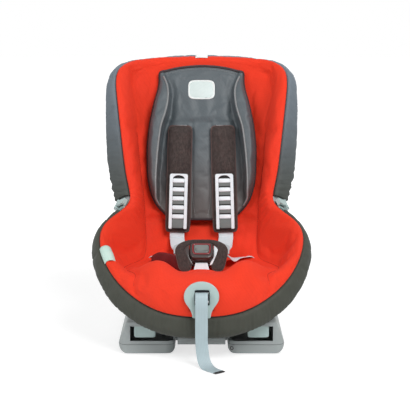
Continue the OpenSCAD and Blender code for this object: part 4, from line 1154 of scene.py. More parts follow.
@dataclass
class SeatCover:
    """The red padded cover, from the front roll to the top of the back."""

    pad: float = 13.0
    front_roll: float = 9.0
    thigh_roll: float = 26.0
    top_dip: float = 2.5
    under: float = 0.9
    crease: float = 5.0
    crease_wide: float = 8.0
    # The swelling step: air pressure, furthest way of a point, and how much larger the cloth is cut.
    pressure: float = 3.5
    swell: float = 4.5
    slack: float = 0.012
    mouth_top: float = 155.0
    valley: float = 12.0
    middle_rise: float = 3.0
    waist_fold: float = 1.6
    # Where the adjuster's plate holds the cover flat, and how far round it.
    plate_at: Three = (0.0, -238.0, 129.0)
    plate_reach: float = 58.0
    rows: int = 168
    columns: int = 112
    # Sewn lines, as stations and places along the ribs: where arms and wings meet the pan and the back,
    # and across the back under the insert.
    side_seam: Pairs = (
        (1.75, 3.05), (1.95, 2.5), (2.2, 2.0), (2.7, 1.82), (3.4, 1.68), (4.1, 1.5), (4.8, 1.36), (5.3, 1.52),
        (5.75, 1.8), (6.1, 2.02), (6.6, 2.1), (7.4, 2.1), (8.4, 2.0))
    back_seam: Pairs = ((5.95, 2.0), (6.4, 1.3), (6.9, 0.46), (7.02, 0.0))

    def top(self, a: Array, t: Array) -> Array:
        """Height of the padding over the shell: rolls at the front and under the thighs, thin at the seam.

        Args:
            a: stations.
            t: places along the ribs.

        Returns:
            One height for each pair.
        """
        t = np.abs(t)
        front = self.front_roll * bump(a, 0, 2.4) * bump(t, 1.2, 0.9)
        thigh = self.thigh_roll * bump(a, 1.9, 0.8) * bump(t, 1.2, 0.6)
        dip = self.top_dip * bump(a, BUCKET.LAST_A, 1.8) * ramp(t, 2.4, 2.9)
        return 0.5 + self.pad * (1 - 0.5 * (t / BUCKET.SEAM) ** 5) + front + thigh - dip

    def seam_route(self, line: Sequence[Sequence[float]], sign: int) -> Array:
        """A sewn line on the cover as points."""
        a, t = self.sample(line, sign)
        return BUCKET.off(a, t, self.top(a, t))

    def lobes(self, spot: Array) -> Array:
        """Valleys that part the thigh lobes from the middle of the front roll, and its low arch between them."""
        across, along = np.abs(spot[..., 0]), bump(spot[..., 1], -152, 48) * (spot[..., 2] < 220)
        return along * (self.middle_rise * bump(across, 0, 26) - self.valley * bump(across, 47, 20))

    def folds(self, a: Array, t: Array) -> Array:
        """Small folds where the cover turns in at the waist.

        Args:
            a: stations.
            t: places along the ribs.

        Returns:
            How far each place moves out.
        """
        t = np.abs(t)
        waist = bump(a, 6.05, 0.55) * ramp(t, 1.9, 2.5) * (1 - 0.6 * ramp(t, 2.9, 3.2))
        broad, fine = (np.sin(2 * math.pi * turn) for turn in (a / 0.23 + 0.5 * t, a / 0.13 - t))
        return self.waist_fold * waist * broad + self.waist_fold / 2 * waist * fine

    def build(self) -> None:
        """Builds the cover, its sewn lines and the thread along them."""
        mouth_a, mouth_low = SHELL.mouth()
        mouth_high = float(BUCKET.find(lambda t: -BUCKET.off(0 * t, t, self.top(0 * t, t))[..., 2],
                                       -self.mouth_top, 1, BUCKET.SEAM))
        half = even_lines(0, BUCKET.SEAM, self.columns // 2, [mouth_low, mouth_high])
        lines_a, lines_t = even_lines(0, BUCKET.LAST_A, self.rows, [mouth_a]), np.concatenate([-half[:0:-1], half])
        (a, t), (am, tm) = mesh_grid(lines_a, lines_t), cell_middles(lines_a, lines_t)
        high = BUCKET.off(a, t, self.top(a, t))
        out = BUCKET.normal(a, t)
        seams = [self.seam_route(line, sign) for line in (self.side_seam, self.back_seam) for sign in (-1, 1)]
        near = np.min([distance_to_route(high, route) for route in seams], axis=0)
        edge = BUCKET.SEAM - np.abs(t)
        sunk = self.crease * np.exp(-((near / self.crease_wide) ** 2)) * ramp(edge, 0, 0.3)
        unevenness = 0.7 * ripple(high, 70, 5) * ramp(edge, 0, 0.4)
        high = high + (self.folds(a, t) + self.lobes(high) + unevenness - sunk)[..., None] * out
        hidden = (BUCKET.along_back(high) > 20) & (np.abs(high[..., 0]) < 118) & (a > 6.6)
        plate = bump(np.linalg.norm(high - self.plate_at, axis=-1), 0, self.plate_reach)
        sewn = np.clip(np.exp(-((near / 5) ** 2)) + bump(edge, 0, 0.08) + 0.9 * hidden + plate, 0, 1)
        high = puffed(high, out, sewn, self.pressure, self.swell, self.slack)
        low = BUCKET.off(a, t, self.under + 0 * a)
        cover = skin_piece("seat_cover_jersey", low, high, (am < mouth_a) & between(tm, (mouth_high, mouth_low)))
        dress(cover, RED_JERSEY, "seat_cover")
        for side in Side:
            route = self.seam_route(self.side_seam, side.value)[6:]
            normal = BUCKET.normal(*self.sample(self.side_seam, side.value))[6:]
            thread = stitch_piece(f"cover_stitches_{side.word}", route - (self.crease - 0.6) * normal, normal)
            dress(thread, RED_THREAD)

    def sample(self, line: Sequence[Sequence[float]], sign: int) -> tuple[Array, Array]:
        """Stations and places along a sewn line."""
        run = smooth_route([(10 * a, 10 * t, 0) for a, t in line], 0.6) / 10
        return run[:, 0], sign * run[:, 1]


COVER = SeatCover()


@dataclass
class Borders:
    """Grey padded borders that hook over the rim, with a bare gap at the waist."""

    pad: float = 9.0
    gap: float = 0.9
    waist: Two = (5.15, 6.2)
    flap_ts: Two = (3.7, 3.85)
    step: float = 0.035
    seam_cord: float = 0.8
    front_thin: float = 0.45
    top_rise: float = 1.5
    wing_fold: float = 1.7
    front_fold: float = 0.9
    unevenness: float = 0.6
    pressure: float = 3.0
    swell: float = 3.0
    slack: float = 0.015

    # Points across the padded outside.
    OUTSIDE = 30

    def hook(self, a: Array) -> Array:
        """The padded outside and the hollow inside of the border at each station.

        Args:
            a: stations.

        Returns:
            Stations by points by x, y, z on the right side; the outside comes first.
        """
        def off(t: float, height: float | Array) -> Array:
            """A point over the shell at each station."""
            return BUCKET.off(a, np.full_like(a, t), height + 0 * a)

        rim, n = BUCKET.point(a, 4 + 0 * a), BUCKET.normal(a, 4 + 0 * a)
        out = unit(rim - BUCKET.point(a, 3.9 + 0 * a))
        thin, back = 0.62 * self.pad, -BUCKET.shell_wall - 2 * self.gap
        rise = self.top_rise * bump(a, BUCKET.LAST_A, 1.8)
        low = (self.pad * (1 - self.front_thin * bump(a, 0, 2.2)))[:, None]
        t0 = BUCKET.SEAM + 0.03
        outer = np.stack([
            off(t0, thin * 0.55), off(3.35, 0.9 * self.pad + rise), off(3.6, self.pad + rise),
            off(self.flap_ts[1], self.pad), rim + 0.3 * low * out + 0.9 * low * n, rim + low * (0.8 * out + 0.3 * n),
            rim + low * (0.85 * out - 0.7 * n), rim + 0.2 * low * out + (back - 0.62 * low) * n,
            off(self.flap_ts[1], back - thin), off(self.flap_ts[0], back - 2)], 1)
        inner = np.stack([off(self.flap_ts[0], back), off(self.flap_ts[1], back), rim + self.gap * out + back * n,
                          rim + self.gap * (out + n), off(self.flap_ts[1], self.gap), off(3.5, self.gap),
                          off(t0, self.gap)], 1)
        smooth = []
        for line in outer:
            fine = smooth_route(line, np.linalg.norm(np.diff(line, axis=0), axis=1).sum() / 200)
            smooth.append(fine[np.round(np.linspace(0, len(fine) - 1, self.OUTSIDE)).astype(int)])
        return np.concatenate([smooth, inner], 1)

    def gathers(self, a: Array, share: Array) -> Array:
        """Folds of the cloth: deep ones low on the wings, fine gathers along the front.

        Args:
            a: stations.
            share: places across the outside, from the seam at 0 to the flap at 1.

        Returns:
            How far each place moves out.
        """
        wing = bump(a, 6.75, 0.55) * (a > 6) * ramp(share, 0.02, 0.2) * (1 - ramp(share, 0.6, 0.8))
        front = bump(a, 1.2, 0.9) * (a < 5) * ramp(share, 0.0, 0.08) * (1 - ramp(share, 0.45, 0.7))
        deep = np.sin(2 * math.pi * (a / 0.26 - 1.3 * share) + 1.2 * np.sin(5 * a)) ** 3
        fine = np.sin(2 * math.pi * (a / 0.105 + 0.6 * share) + 1.5 * np.sin(9 * a))
        return self.wing_fold * wing * deep + self.front_fold * front * fine

    def sweep(self, name: str, a: Array, node: str) -> None:
        """One border and its seam cord.

        Args:
            name: its name.
            a: stations from the waist to the middle plane.
            node: the CAD node it stands for.
        """
        right = self.hook(a)
        rings = np.concatenate([right, right[-2::-1] * Side.LEFT.mirror])
        stations, left = np.concatenate([a, a[-2::-1]])[:, None], (np.arange(len(rings)) >= len(a))[:, None]
        skin = rings[:, :self.OUTSIDE]
        share, station = np.broadcast_arrays(np.linspace(0, 1, self.OUTSIDE), stations)
        normal = grid_normals(skin)
        middle = skin.mean(1, keepdims=True)
        out = normal * np.sign(((skin - middle) * normal)[:, 4:20].sum())
        # The left side's folds are shifted a little, so that the two sides differ.
        move = self.gathers(station + 0.05 * left, share) \
            + self.unevenness * ripple(skin, 45, 11) * ramp(share, 0.03, 0.2)
        skin = skin + (move * ramp(1 - share, 0.05, 0.25))[..., None] * out
        held = bump(share, 0, 0.05) + ramp(share, 0.5, 0.7)
        ends = np.minimum(np.arange(len(rings)), np.arange(len(rings))[::-1])[:, None]
        sewn = np.clip(held + (ends < 2), 0, 1)
        rings[:, :self.OUTSIDE] = puffed(skin, out, sewn, self.pressure, self.swell, self.slack)
        # Painted shade: the border's finish darkens it low down.
        border = dress(sweep_piece(name, rings), GREY_WEAVE, node)
        ts = np.full_like(a, BUCKET.SEAM + 0.015)
        line = BUCKET.off(a, ts, COVER.top(a, ts) * 0.75)
        cord = tube_piece(f"{name}_seam", np.concatenate([line, line[-2::-1] * Side.LEFT.mirror]), self.seam_cord, 6)
        dress(cord, DARK_THREAD)

    def build(self) -> None:
        """Builds both borders."""
        low, high = self.waist
        self.sweep("seat_border_weave", np.linspace(low, 0, round(low / self.step)), "seat_border")
        count = round((BUCKET.LAST_A - high) / self.step)
        self.sweep("back_border_weave", np.linspace(high, BUCKET.LAST_A, count), "back_border")


# The insert and what is sewn to it


@dataclass
class HeadInsert:
    """The charcoal support insert: a middle panel between two bolsters, piped along its edges."""

    low: float = 30.0
    high: float = 385.0
    depth: float = 37.0
    rise: float = 32.0
    clear: float = 2.0
    head_start: float = 262.0
    head_slope: float = 0.09
    strap_x: float = 49.0
    strap_reach: float = 28.0
    bolster_slope: float = 13.0
    bolster_starts: Pairs = (
        (30, 88), (120, 90), (180, 86), (240, 79), (262, 70), (300, 63), (330, 63), (360, 70), (385, 80))
    half_widths: Pairs = (
        (30, 62), (48, 88), (75, 108), (120, 119), (190, 121), (240, 117), (290, 108), (330, 98), (365, 94),
        (385, 96))
    bolster_share: Pairs = ((30, 0), (60, 0.3), (100, 1), (250, 1), (330, 0.6), (385, 0.15))
    seam_x: float = 21.0
    seam_s: float = 250.0
    # How deep the upright seams, the cross seam, the hem and the bolsters' inner corners sink in.
    sinks: Four = (2.6, 2.2, 1.6, 5.5)
    drape: float = 1.3
    unevenness: float = 0.7
    pressure: float = 4.0
    swell: float = 5.0
    slack: float = 0.01
    piping: float = 2.3
    patch_s: float = 328.0
    rows: int = 96
    columns: int = 88

    def along(self, pairs: Sequence[Sequence[float]], s: Array) -> Array:
        """A value given as pairs of height and value, evened out, at heights along the back."""
        table = np.array(pairs, float)
        return np.mean([np.interp(s + e, table[:, 0], table[:, 1]) for e in (-14, -7, 0, 7, 14)], axis=0)

    def panel_depth(self, s: Any) -> Any:
        """How far the middle panel stands out from the back."""
        return self.depth - self.head_slope * np.maximum(0, np.asarray(s, float) - self.head_start)

    def build(self) -> None:
        """Builds the insert with its seams, piping and stitches."""
        f1 = np.linspace(-1, 1, self.columns + 1)
        f1 = np.sign(f1) * np.abs(f1) ** 0.9
        s, f = mesh_grid(np.linspace(self.low, self.high, self.rows + 1), f1)
        x = f * self.along(self.half_widths, s)
        wide, rim, outward = np.abs(x), np.abs(f), BUCKET.back_axes()[2]
        up = s - 16 * ramp(s, 300, self.high) * f * f
        a = BUCKET.a_at_back(wide, up)
        t = BUCKET.t_at_x(a, wide)
        lean = np.maximum(0.5, BUCKET.normal(a, t) @ outward)
        back = BUCKET.off_back(BUCKET.point(a, t)) + (COVER.top(a, t) + self.clear) / lean
        share, start = self.along(self.bolster_share, s), self.along(self.bolster_starts, s)
        crest = start + self.bolster_slope
        bolster = self.rise * share * ramp(wide, start + 3, crest) * (1 - 0.35 * ramp(rim, 0.9, 1))
        front = np.where(rim > 0.99, back + 6, np.maximum(self.panel_depth(s) + bolster, back + 5))
        beside, above = np.abs(wide - self.seam_x), np.abs(s - self.seam_s)
        seam = np.where(s < self.seam_s, beside, np.hypot(beside, above))
        across = np.where(wide < 78, above, 99)
        hem = np.abs(self.high - 11 - s)
        upright, cross, fold, inner = self.sinks
        sunk = upright * bump(seam, 0, 3.5) + cross * bump(across, 0, 3.5) + fold * bump(hem, 0, 2.5)
        corner = inner * bump(wide, start, 8) * share
        wave = np.sin(2 * math.pi * x / 37 + 0.02 * s)
        drape = self.drape * bump(s, 288, 34) * wave * ramp(start - wide, 0, 20)
        inside = ramp(1 - rim, 0, 0.1)
        grid = BUCKET.back_point(x, up, front - (sunk + corner) * inside)
        grid = grid + ((self.unevenness * ripple(grid, 55, 3) + drape) * inside)[..., None] * outward
        under_strap = (np.abs(wide - self.strap_x - 3) < self.strap_reach) & (s < self.seam_s + 4)
        patch = bump(np.hypot(x, 1.2 * (s - self.patch_s)), 0, 42)
        piped = bump(wide, crest, 3) * (share > 0.1)
        edge = np.maximum(bump(rim, 1, 0.03), np.maximum(bump(s, self.low, 4), bump(s, self.high, 4)))
        lines = bump(seam, 0, 3) + bump(across, 0, 3) + bump(hem, 0, 3)
        sewn = np.clip(edge + lines + under_strap + patch + piped, 0, 1)
        grid = puffed(grid, outward, sewn, self.pressure, self.swell, self.slack)
        insert = skin_piece("insert_satin", BUCKET.back_point(x, up, back), grid)
        # Painted shade: the insert's finish darkens and browns it low down.
        dress(insert, CHARCOAL_SATIN, "head_insert")
        self.pipe(grid, x, s, crest[:, 0])

    def pipe(self, grid: Array, x: Array, s: Array, crest: Array) -> None:
        """Piping round the edge and along the bolsters, and stitches beside the hem and the seams.

        Args:
            grid: points of the insert's front.
            x: place across at each of them.
            s: height along the back at each of them.
            crest: how far out the bolsters' inner edge is in each row.
        """
        out = BUCKET.back_axes()[2]
        # Painted shade: the edge piping's near-black colour draws the contact shadow round the insert.
        dress(tube_piece("insert_piping", smooth_closed(grid_edge(grid)), self.piping * 1.3, 8, True), SHADOW_DARK_TAPE)
        for side in Side:
            line = []
            for i in range(len(grid)):
                if 58 < s[i, 0] < 383:
                    goal = min(crest[i] - 1, 0.965 * abs(x[i, 0])) * side.value
                    line.append(rows_at(goal, x[i], grid[i]))
            route = smooth_route(np.array(line)[::4] + 0.8 * out, 4)
            dress(tube_piece(f"bolster_piping_{side.word}", route, self.piping * 0.9), PIPING_TAPE)
        columns = [int(np.argmin(np.abs(x[40] - v))) for v in (-self.seam_x, self.seam_x)]
        for side, k in zip(Side, columns):
            rows = (s[:, 0] > 36) & (s[:, 0] < self.seam_s - 4)
            line = grid[rows, k] + [1.8 * side.value, 0, 0]
            dress(stitch_piece(f"panel_stitches_{side.word}", line + 0.4 * out, out), PALE_THREAD)
        row = int(np.argmin(np.abs(s[:, 0] - (self.high - 8.5))))
        dress(stitch_piece("hem_stitches", grid[row, 6:-6] + 0.4 * out, out), PALE_THREAD)


def grid_edge(grid: Array) -> Array:
    """The points round the edge of a grid, as a closed ring."""
    return np.concatenate([grid[:, 0], grid[-1, 1:], grid[-2::-1, -1], grid[0, -2:0:-1]])


def smooth_closed(ring: Array, rounds: int = 3) -> Array:
    """Rounds the corners of a closed ring a little.

    Args:
        ring: its points.
        rounds: how often each point is drawn towards its neighbours.

    Returns:
        The rounded ring.
    """
    for _ in range(rounds):
        ring = 0.25 * np.roll(ring, 1, 0) + 0.5 * ring + 0.25 * np.roll(ring, -1, 0)
    return ring


@dataclass
class Labels:
    """The blank sewn patch on the head panel and two small tags in the seams."""

    patch: Two = (60.0, 46.0)
    patch_s: float = 328.0
    thick: float = 1.6
    border: float = 3.2

    def build(self, insert: HeadInsert) -> None:
        """Builds the patch on the insert, and the tags.

        Args:
            insert: the insert that carries the patch.
        """
        axes = BUCKET.back_axes(lean_deg=math.degrees(math.atan(insert.head_slope)))
        origin = BUCKET.back_point(0, self.patch_s, insert.panel_depth(self.patch_s) + 0.3)
        half = np.array(self.patch) / 2
        outer, inner = round_outline(*half, 4.5), round_outline(*(half - self.border), 4.5)
        ground = block_piece("patch_ground", (
            (inner, 0.2), (inner, self.thick * 0.6), (inner * 0.97, self.thick * 0.75)))
        edge = ring_piece("patch_edge", (
            (inner * 0.99, 0.0), (outer, 0.0), (outer * 1.005, self.thick * 0.6), (outer * 0.985, self.thick),
            (inner * 1.03, self.thick), (inner * 0.99, self.thick * 0.6)))
        dress(place(edge, origin, axes), LABEL_WHITE, "label_patch")
        dress(place(ground, origin, axes), LABEL_GROUND)
        ring = flat_rings([(outer * 0.52 + inner * 0.48, self.thick + 0.1)])[0] @ axes + origin
        dress(stitch_piece("patch_stitches", np.vstack([ring, ring[:1]]), axes[2], 3.2, 0.5), LABEL_GROUND)
        self.tag("top_tag", BUCKET.LAST_A, Side.RIGHT, (3.24, 2.6), 28.0, LABEL_WHITE)
        self.tag("side_tag", 3.15, Side.LEFT, (3.24, 2.72), 42.0, LABEL_MINT)

    def tag(self, node: str, a: float, side: Side, ts: Two, length: float, finish: Finish) -> None:
        """A folded tab whose sewn edge is in the seam.

        Args:
            node: the CAD node it stands for.
            a: station.
            side: which side.
            ts: where along the rib it starts, in the seam, and ends.
            length: its length along the seam.
            finish: its cloth.
        """
        t = np.linspace(*ts, 13)
        spot, out = (f(np.full_like(t, a), t) * side.mirror for f in (BUCKET.point, BUCKET.normal))
        u = np.linspace(0, 1, 13)[:, None]
        line = spot + out * (COVER.top(np.full_like(t, a), t)[:, None] + 1.4 + 1.4 * np.sin(math.pi * u * 0.9))
        near, seam = min(a, BUCKET.LAST_A - 0.05), BUCKET.SEAM
        up = BUCKET.normal(near, seam)
        rimward = unit(np.cross(BUCKET.point(near + 0.05, seam) - BUCKET.point(near - 0.05, seam), up))
        along = np.cross(up, rimward) * side.mirror
        run = np.linspace(-0.5, 0.5, 9) * length
        wave = (0.4 * np.cos(7 * run / length))[None, :, None]
        grid = line[:, None] + along * run[None, :, None] + out[:, None] * wave
        thick = 0.5 * out[:, None]
        piece = dress(skin_piece(f"{node}_fold", grid - thick, grid + thick), finish, node)


# The harness


@dataclass
class ChestPad:
    """A plush chest pad with a moulded grip ladder on its lower half, sliding on its strap."""

    side: Side
    length: float = 240.0
    width: float = 52.0
    thick: float = 14.0
    edge: float = 4.0
    corner: float = 12.0
    seat: float = 39.4
    base: float = 1.0
    strap_x: float = 53.0
    spread: float = 1.3
    ladder: float = 124.0
    ladder_low: float = 4.0
    ladder_wide: float = 40.0
    rail: float = 7.0
    arch_rise: float = 8.0
    rungs: int = 5
    rung_low: float = 23.0
    rung_pitch: float = 20.2

    @property
    def body(self) -> str:
        """The CAD body that slides."""
        return f"chest_pad_{self.side.word}"

    def put(self, piece: Piece, y: float, z: float) -> Piece:
        """Places a piece made in the pad's own flat frame.

        Args:
            piece: the piece.
            y: how far up the pad it goes.
            z: how far out from the pad's back it goes.

        Returns:
            The same piece.
        """
        axes = BUCKET.back_axes(self.side.value * self.spread)
        foot = BUCKET.back_point(self.side.value * self.strap_x, self.base, 0)
        return place(piece, foot + np.array([0, y, self.seat + z]) @ axes, axes)

    def half_at(self, y: Array) -> Array:
        """Half width along the length, with rounded corners."""
        q = np.clip((np.abs(y) - self.length / 2 + self.corner) / self.corner, 0, 1)
        return self.width / 2 - self.corner * (1 - np.sqrt(1 - q * q))

    def build(self) -> None:
        """Builds the pad, its binding and its ladder."""
        end = self.length / 2
        y1 = end * np.sin(np.linspace(-1, 1, 73) * math.pi / 2 * 0.999)
        y, f = mesh_grid(y1, np.linspace(-1, 1, 29))
        x = f * self.half_at(y)
        ladder_top = self.ladder_low + self.ladder - end
        waist = 1 - 0.5 * bump(y, ladder_top + 2, 6)
        flat = ramp(y, ladder_top - 2, ladder_top + 10)
        crown = self.edge + (self.thick - 2.2 * (1 - flat) - self.edge) * (1 - np.abs(f) ** 4) \
            * (1 - np.abs(y / end) ** 14) * waist
        high = np.stack([x, y, crown], -1)
        held = bump(np.abs(f), 1, 0.08) + bump(np.abs(y), end, 5) + (1 - flat) + bump(waist, 0.5, 0.2)
        high = puffed(high, UPWARD, np.clip(held, 0, 1), 4.0, 2.5, 0.01)
        high = high + (0.5 * ripple(high, 9, 21 + self.side.value) * flat)[..., None] * UPWARD
        pad = skin_piece(f"chest_pad_plush_{self.side.word}", np.stack([x, y, 0 * x], -1), high)
        dress(self.put(pad, end, 0), BROWN_PLUSH, self.body, self.body)
        turn = np.linspace(0, 2 * math.pi, 120, endpoint=False)
        c, s = np.cos(turn), np.sin(turn)
        loop = np.column_stack([(self.width / 2) * np.sign(c) * np.abs(c) ** 0.22,
                                end * np.sign(s) * np.abs(s) ** 0.09, np.full(120, self.edge * 0.6)])
        binding = tube_piece(f"chest_pad_binding_{self.side.word}", smooth_closed(loop, 2), 2.0, 8, True)
        dress(self.put(binding, end, 0), BROWN_TAPE, body=self.body)
        self.build_ladder()

    def build_ladder(self) -> None:
        """Builds the white frame, its rungs, the grey bars between them and the lower grip."""
        word, z = self.side.word, self.thick + 0.3
        half, inner, top = self.ladder_wide / 2, self.ladder_wide / 2 - self.rail, self.ladder
        arch_y = top - 3.5 - self.arch_rise
        arch = [(inner * math.cos(v), arch_y + self.arch_rise * math.sin(v)) for v in np.linspace(0, math.pi, 17)]
        outline = np.array([(-half, 1.5), (-half + 1.5, 0), (-inner - 1, 0), (-inner, 1), *[(-x, y) for x, y in arch],
                            (inner, 1), (inner + 1, 0), (half - 1.5, 0), (half, 1.5), (half, top - 4),
                            (half - 1.2, top - 1.2), (half - 4, top), (4 - half, top), (1.2 - half, top - 1.2),
                            (-half, top - 4)])
        frame_piece = block_piece(f"ladder_frame_{word}", ((outline, 0), (outline, 2.4)))
        tool = frame_piece.modifiers.new("edge_round", "BEVEL")
        tool.width, tool.segments, tool.harden_normals = 0.6 * MM, 3, True
        tool.limit_method, tool.angle_limit = "ANGLE", math.radians(35)
        dress(self.put(frame_piece, self.ladder_low, z), WHITE_NYLON, f"grip_ladder_{word}", self.body)
        bed = np.array([(-inner, 0.5), (inner, 0.5), (inner, arch_y), *arch[1:-1], (-inner, arch_y)])
        bed_piece = block_piece(f"ladder_bed_{word}", ((bed, -1.2), (bed, 0.2)))
        dress(self.put(bed_piece, self.ladder_low, z), BLACK_RUBBER, body=self.body)
        for i in range(self.rungs):
            low = self.rung_low + i * self.rung_pitch
            self.bar(f"ladder_rung_{word}_{i + 1}", low, low + 9.2, 2.9, WHITE_NYLON, z)
            if i < self.rungs - 1:
                self.bar(f"ladder_bar_{word}_{i + 1}", low + 12, low + self.rung_pitch - 0.3, 1.9, GREY_RUBBER, z)
        self.bar(f"ladder_grip_{word}", 1.5, self.rung_low - 0.6, 2.0, GREY_RUBBER, z)

    def bar(self, name: str, low: float, high: float, tall: float, finish: Finish, z: float) -> None:
        """A rounded bar between the rails.

        Args:
            name: its name.
            low: its lower edge.
            high: its upper edge.
            tall: how far it stands up.
            finish: its surface.
            z: height of the ladder's underside.
        """
        half, middle = self.ladder_wide / 2 - self.rail - 0.2, np.array([0, (high + low) / 2])
        base = round_outline(half, (high - low) / 2, 9) + middle
        piece = block_piece(name, ((base, 0.2), (base, tall - 0.9), (base * [0.985, 1], tall - 0.2),
                                   ((base - middle) * [0.95, 0.86] + middle, tall)))
        dress(self.put(piece, self.ladder_low, z), finish, body=self.body)


@dataclass
class CoilSpring:
    """A compression spring, wound along its axis from its foot."""

    node: str
    foot: Three
    axis: Three
    radius: float
    wire: float
    height: float
    turns: int
    body: str
    joint: str
    travel: float

    def build(self) -> None:
        """Winds the wire from the foot along the axis, with its ends laid flat."""
        f = np.linspace(0, 1, 28 * self.turns + 1)
        turn = 2 * math.pi * self.turns * f
        side = unit(np.cross(self.axis, [1.0, 0.2, 0.1]))
        other = np.cross(self.axis, side)
        rise = self.wire / 2 + (self.height - self.wire) * (0.15 * f + 0.85 * ramp(f, 0.0, 1.0))
        route = self.foot + self.radius * (np.cos(turn)[:, None] * side + np.sin(turn)[:, None] * other) \
            + rise[:, None] * self.axis
        coil = dress(tube_piece(f"{self.node}_coil", route, self.wire / 2), PLATED_STEEL, self.node, self.body)
        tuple(self.axis)
        tuple(np.array(self.foot) * MM)
        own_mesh(coil)


class Leaning:
    """What stands in a frame of its own that leans back: it has a lean in degrees and an origin."""

    lean: float
    origin: Array

    @property
    def axes(self) -> Array:
        """Rows of the directions across, up and out of its face."""
        c, s = cos_sin(self.lean)
        return np.array([[1, 0, 0], [0, s, c], [0, -c, s]])

    def point(self, x: float, along: float, out: float) -> Array:
        """A point given in its frame."""
        return self.origin + np.array([x, along, out]) @ self.axes

    def put(self, piece: Piece) -> Piece:
        """Places a piece made in its frame."""
        return place(piece, self.origin, self.axes)


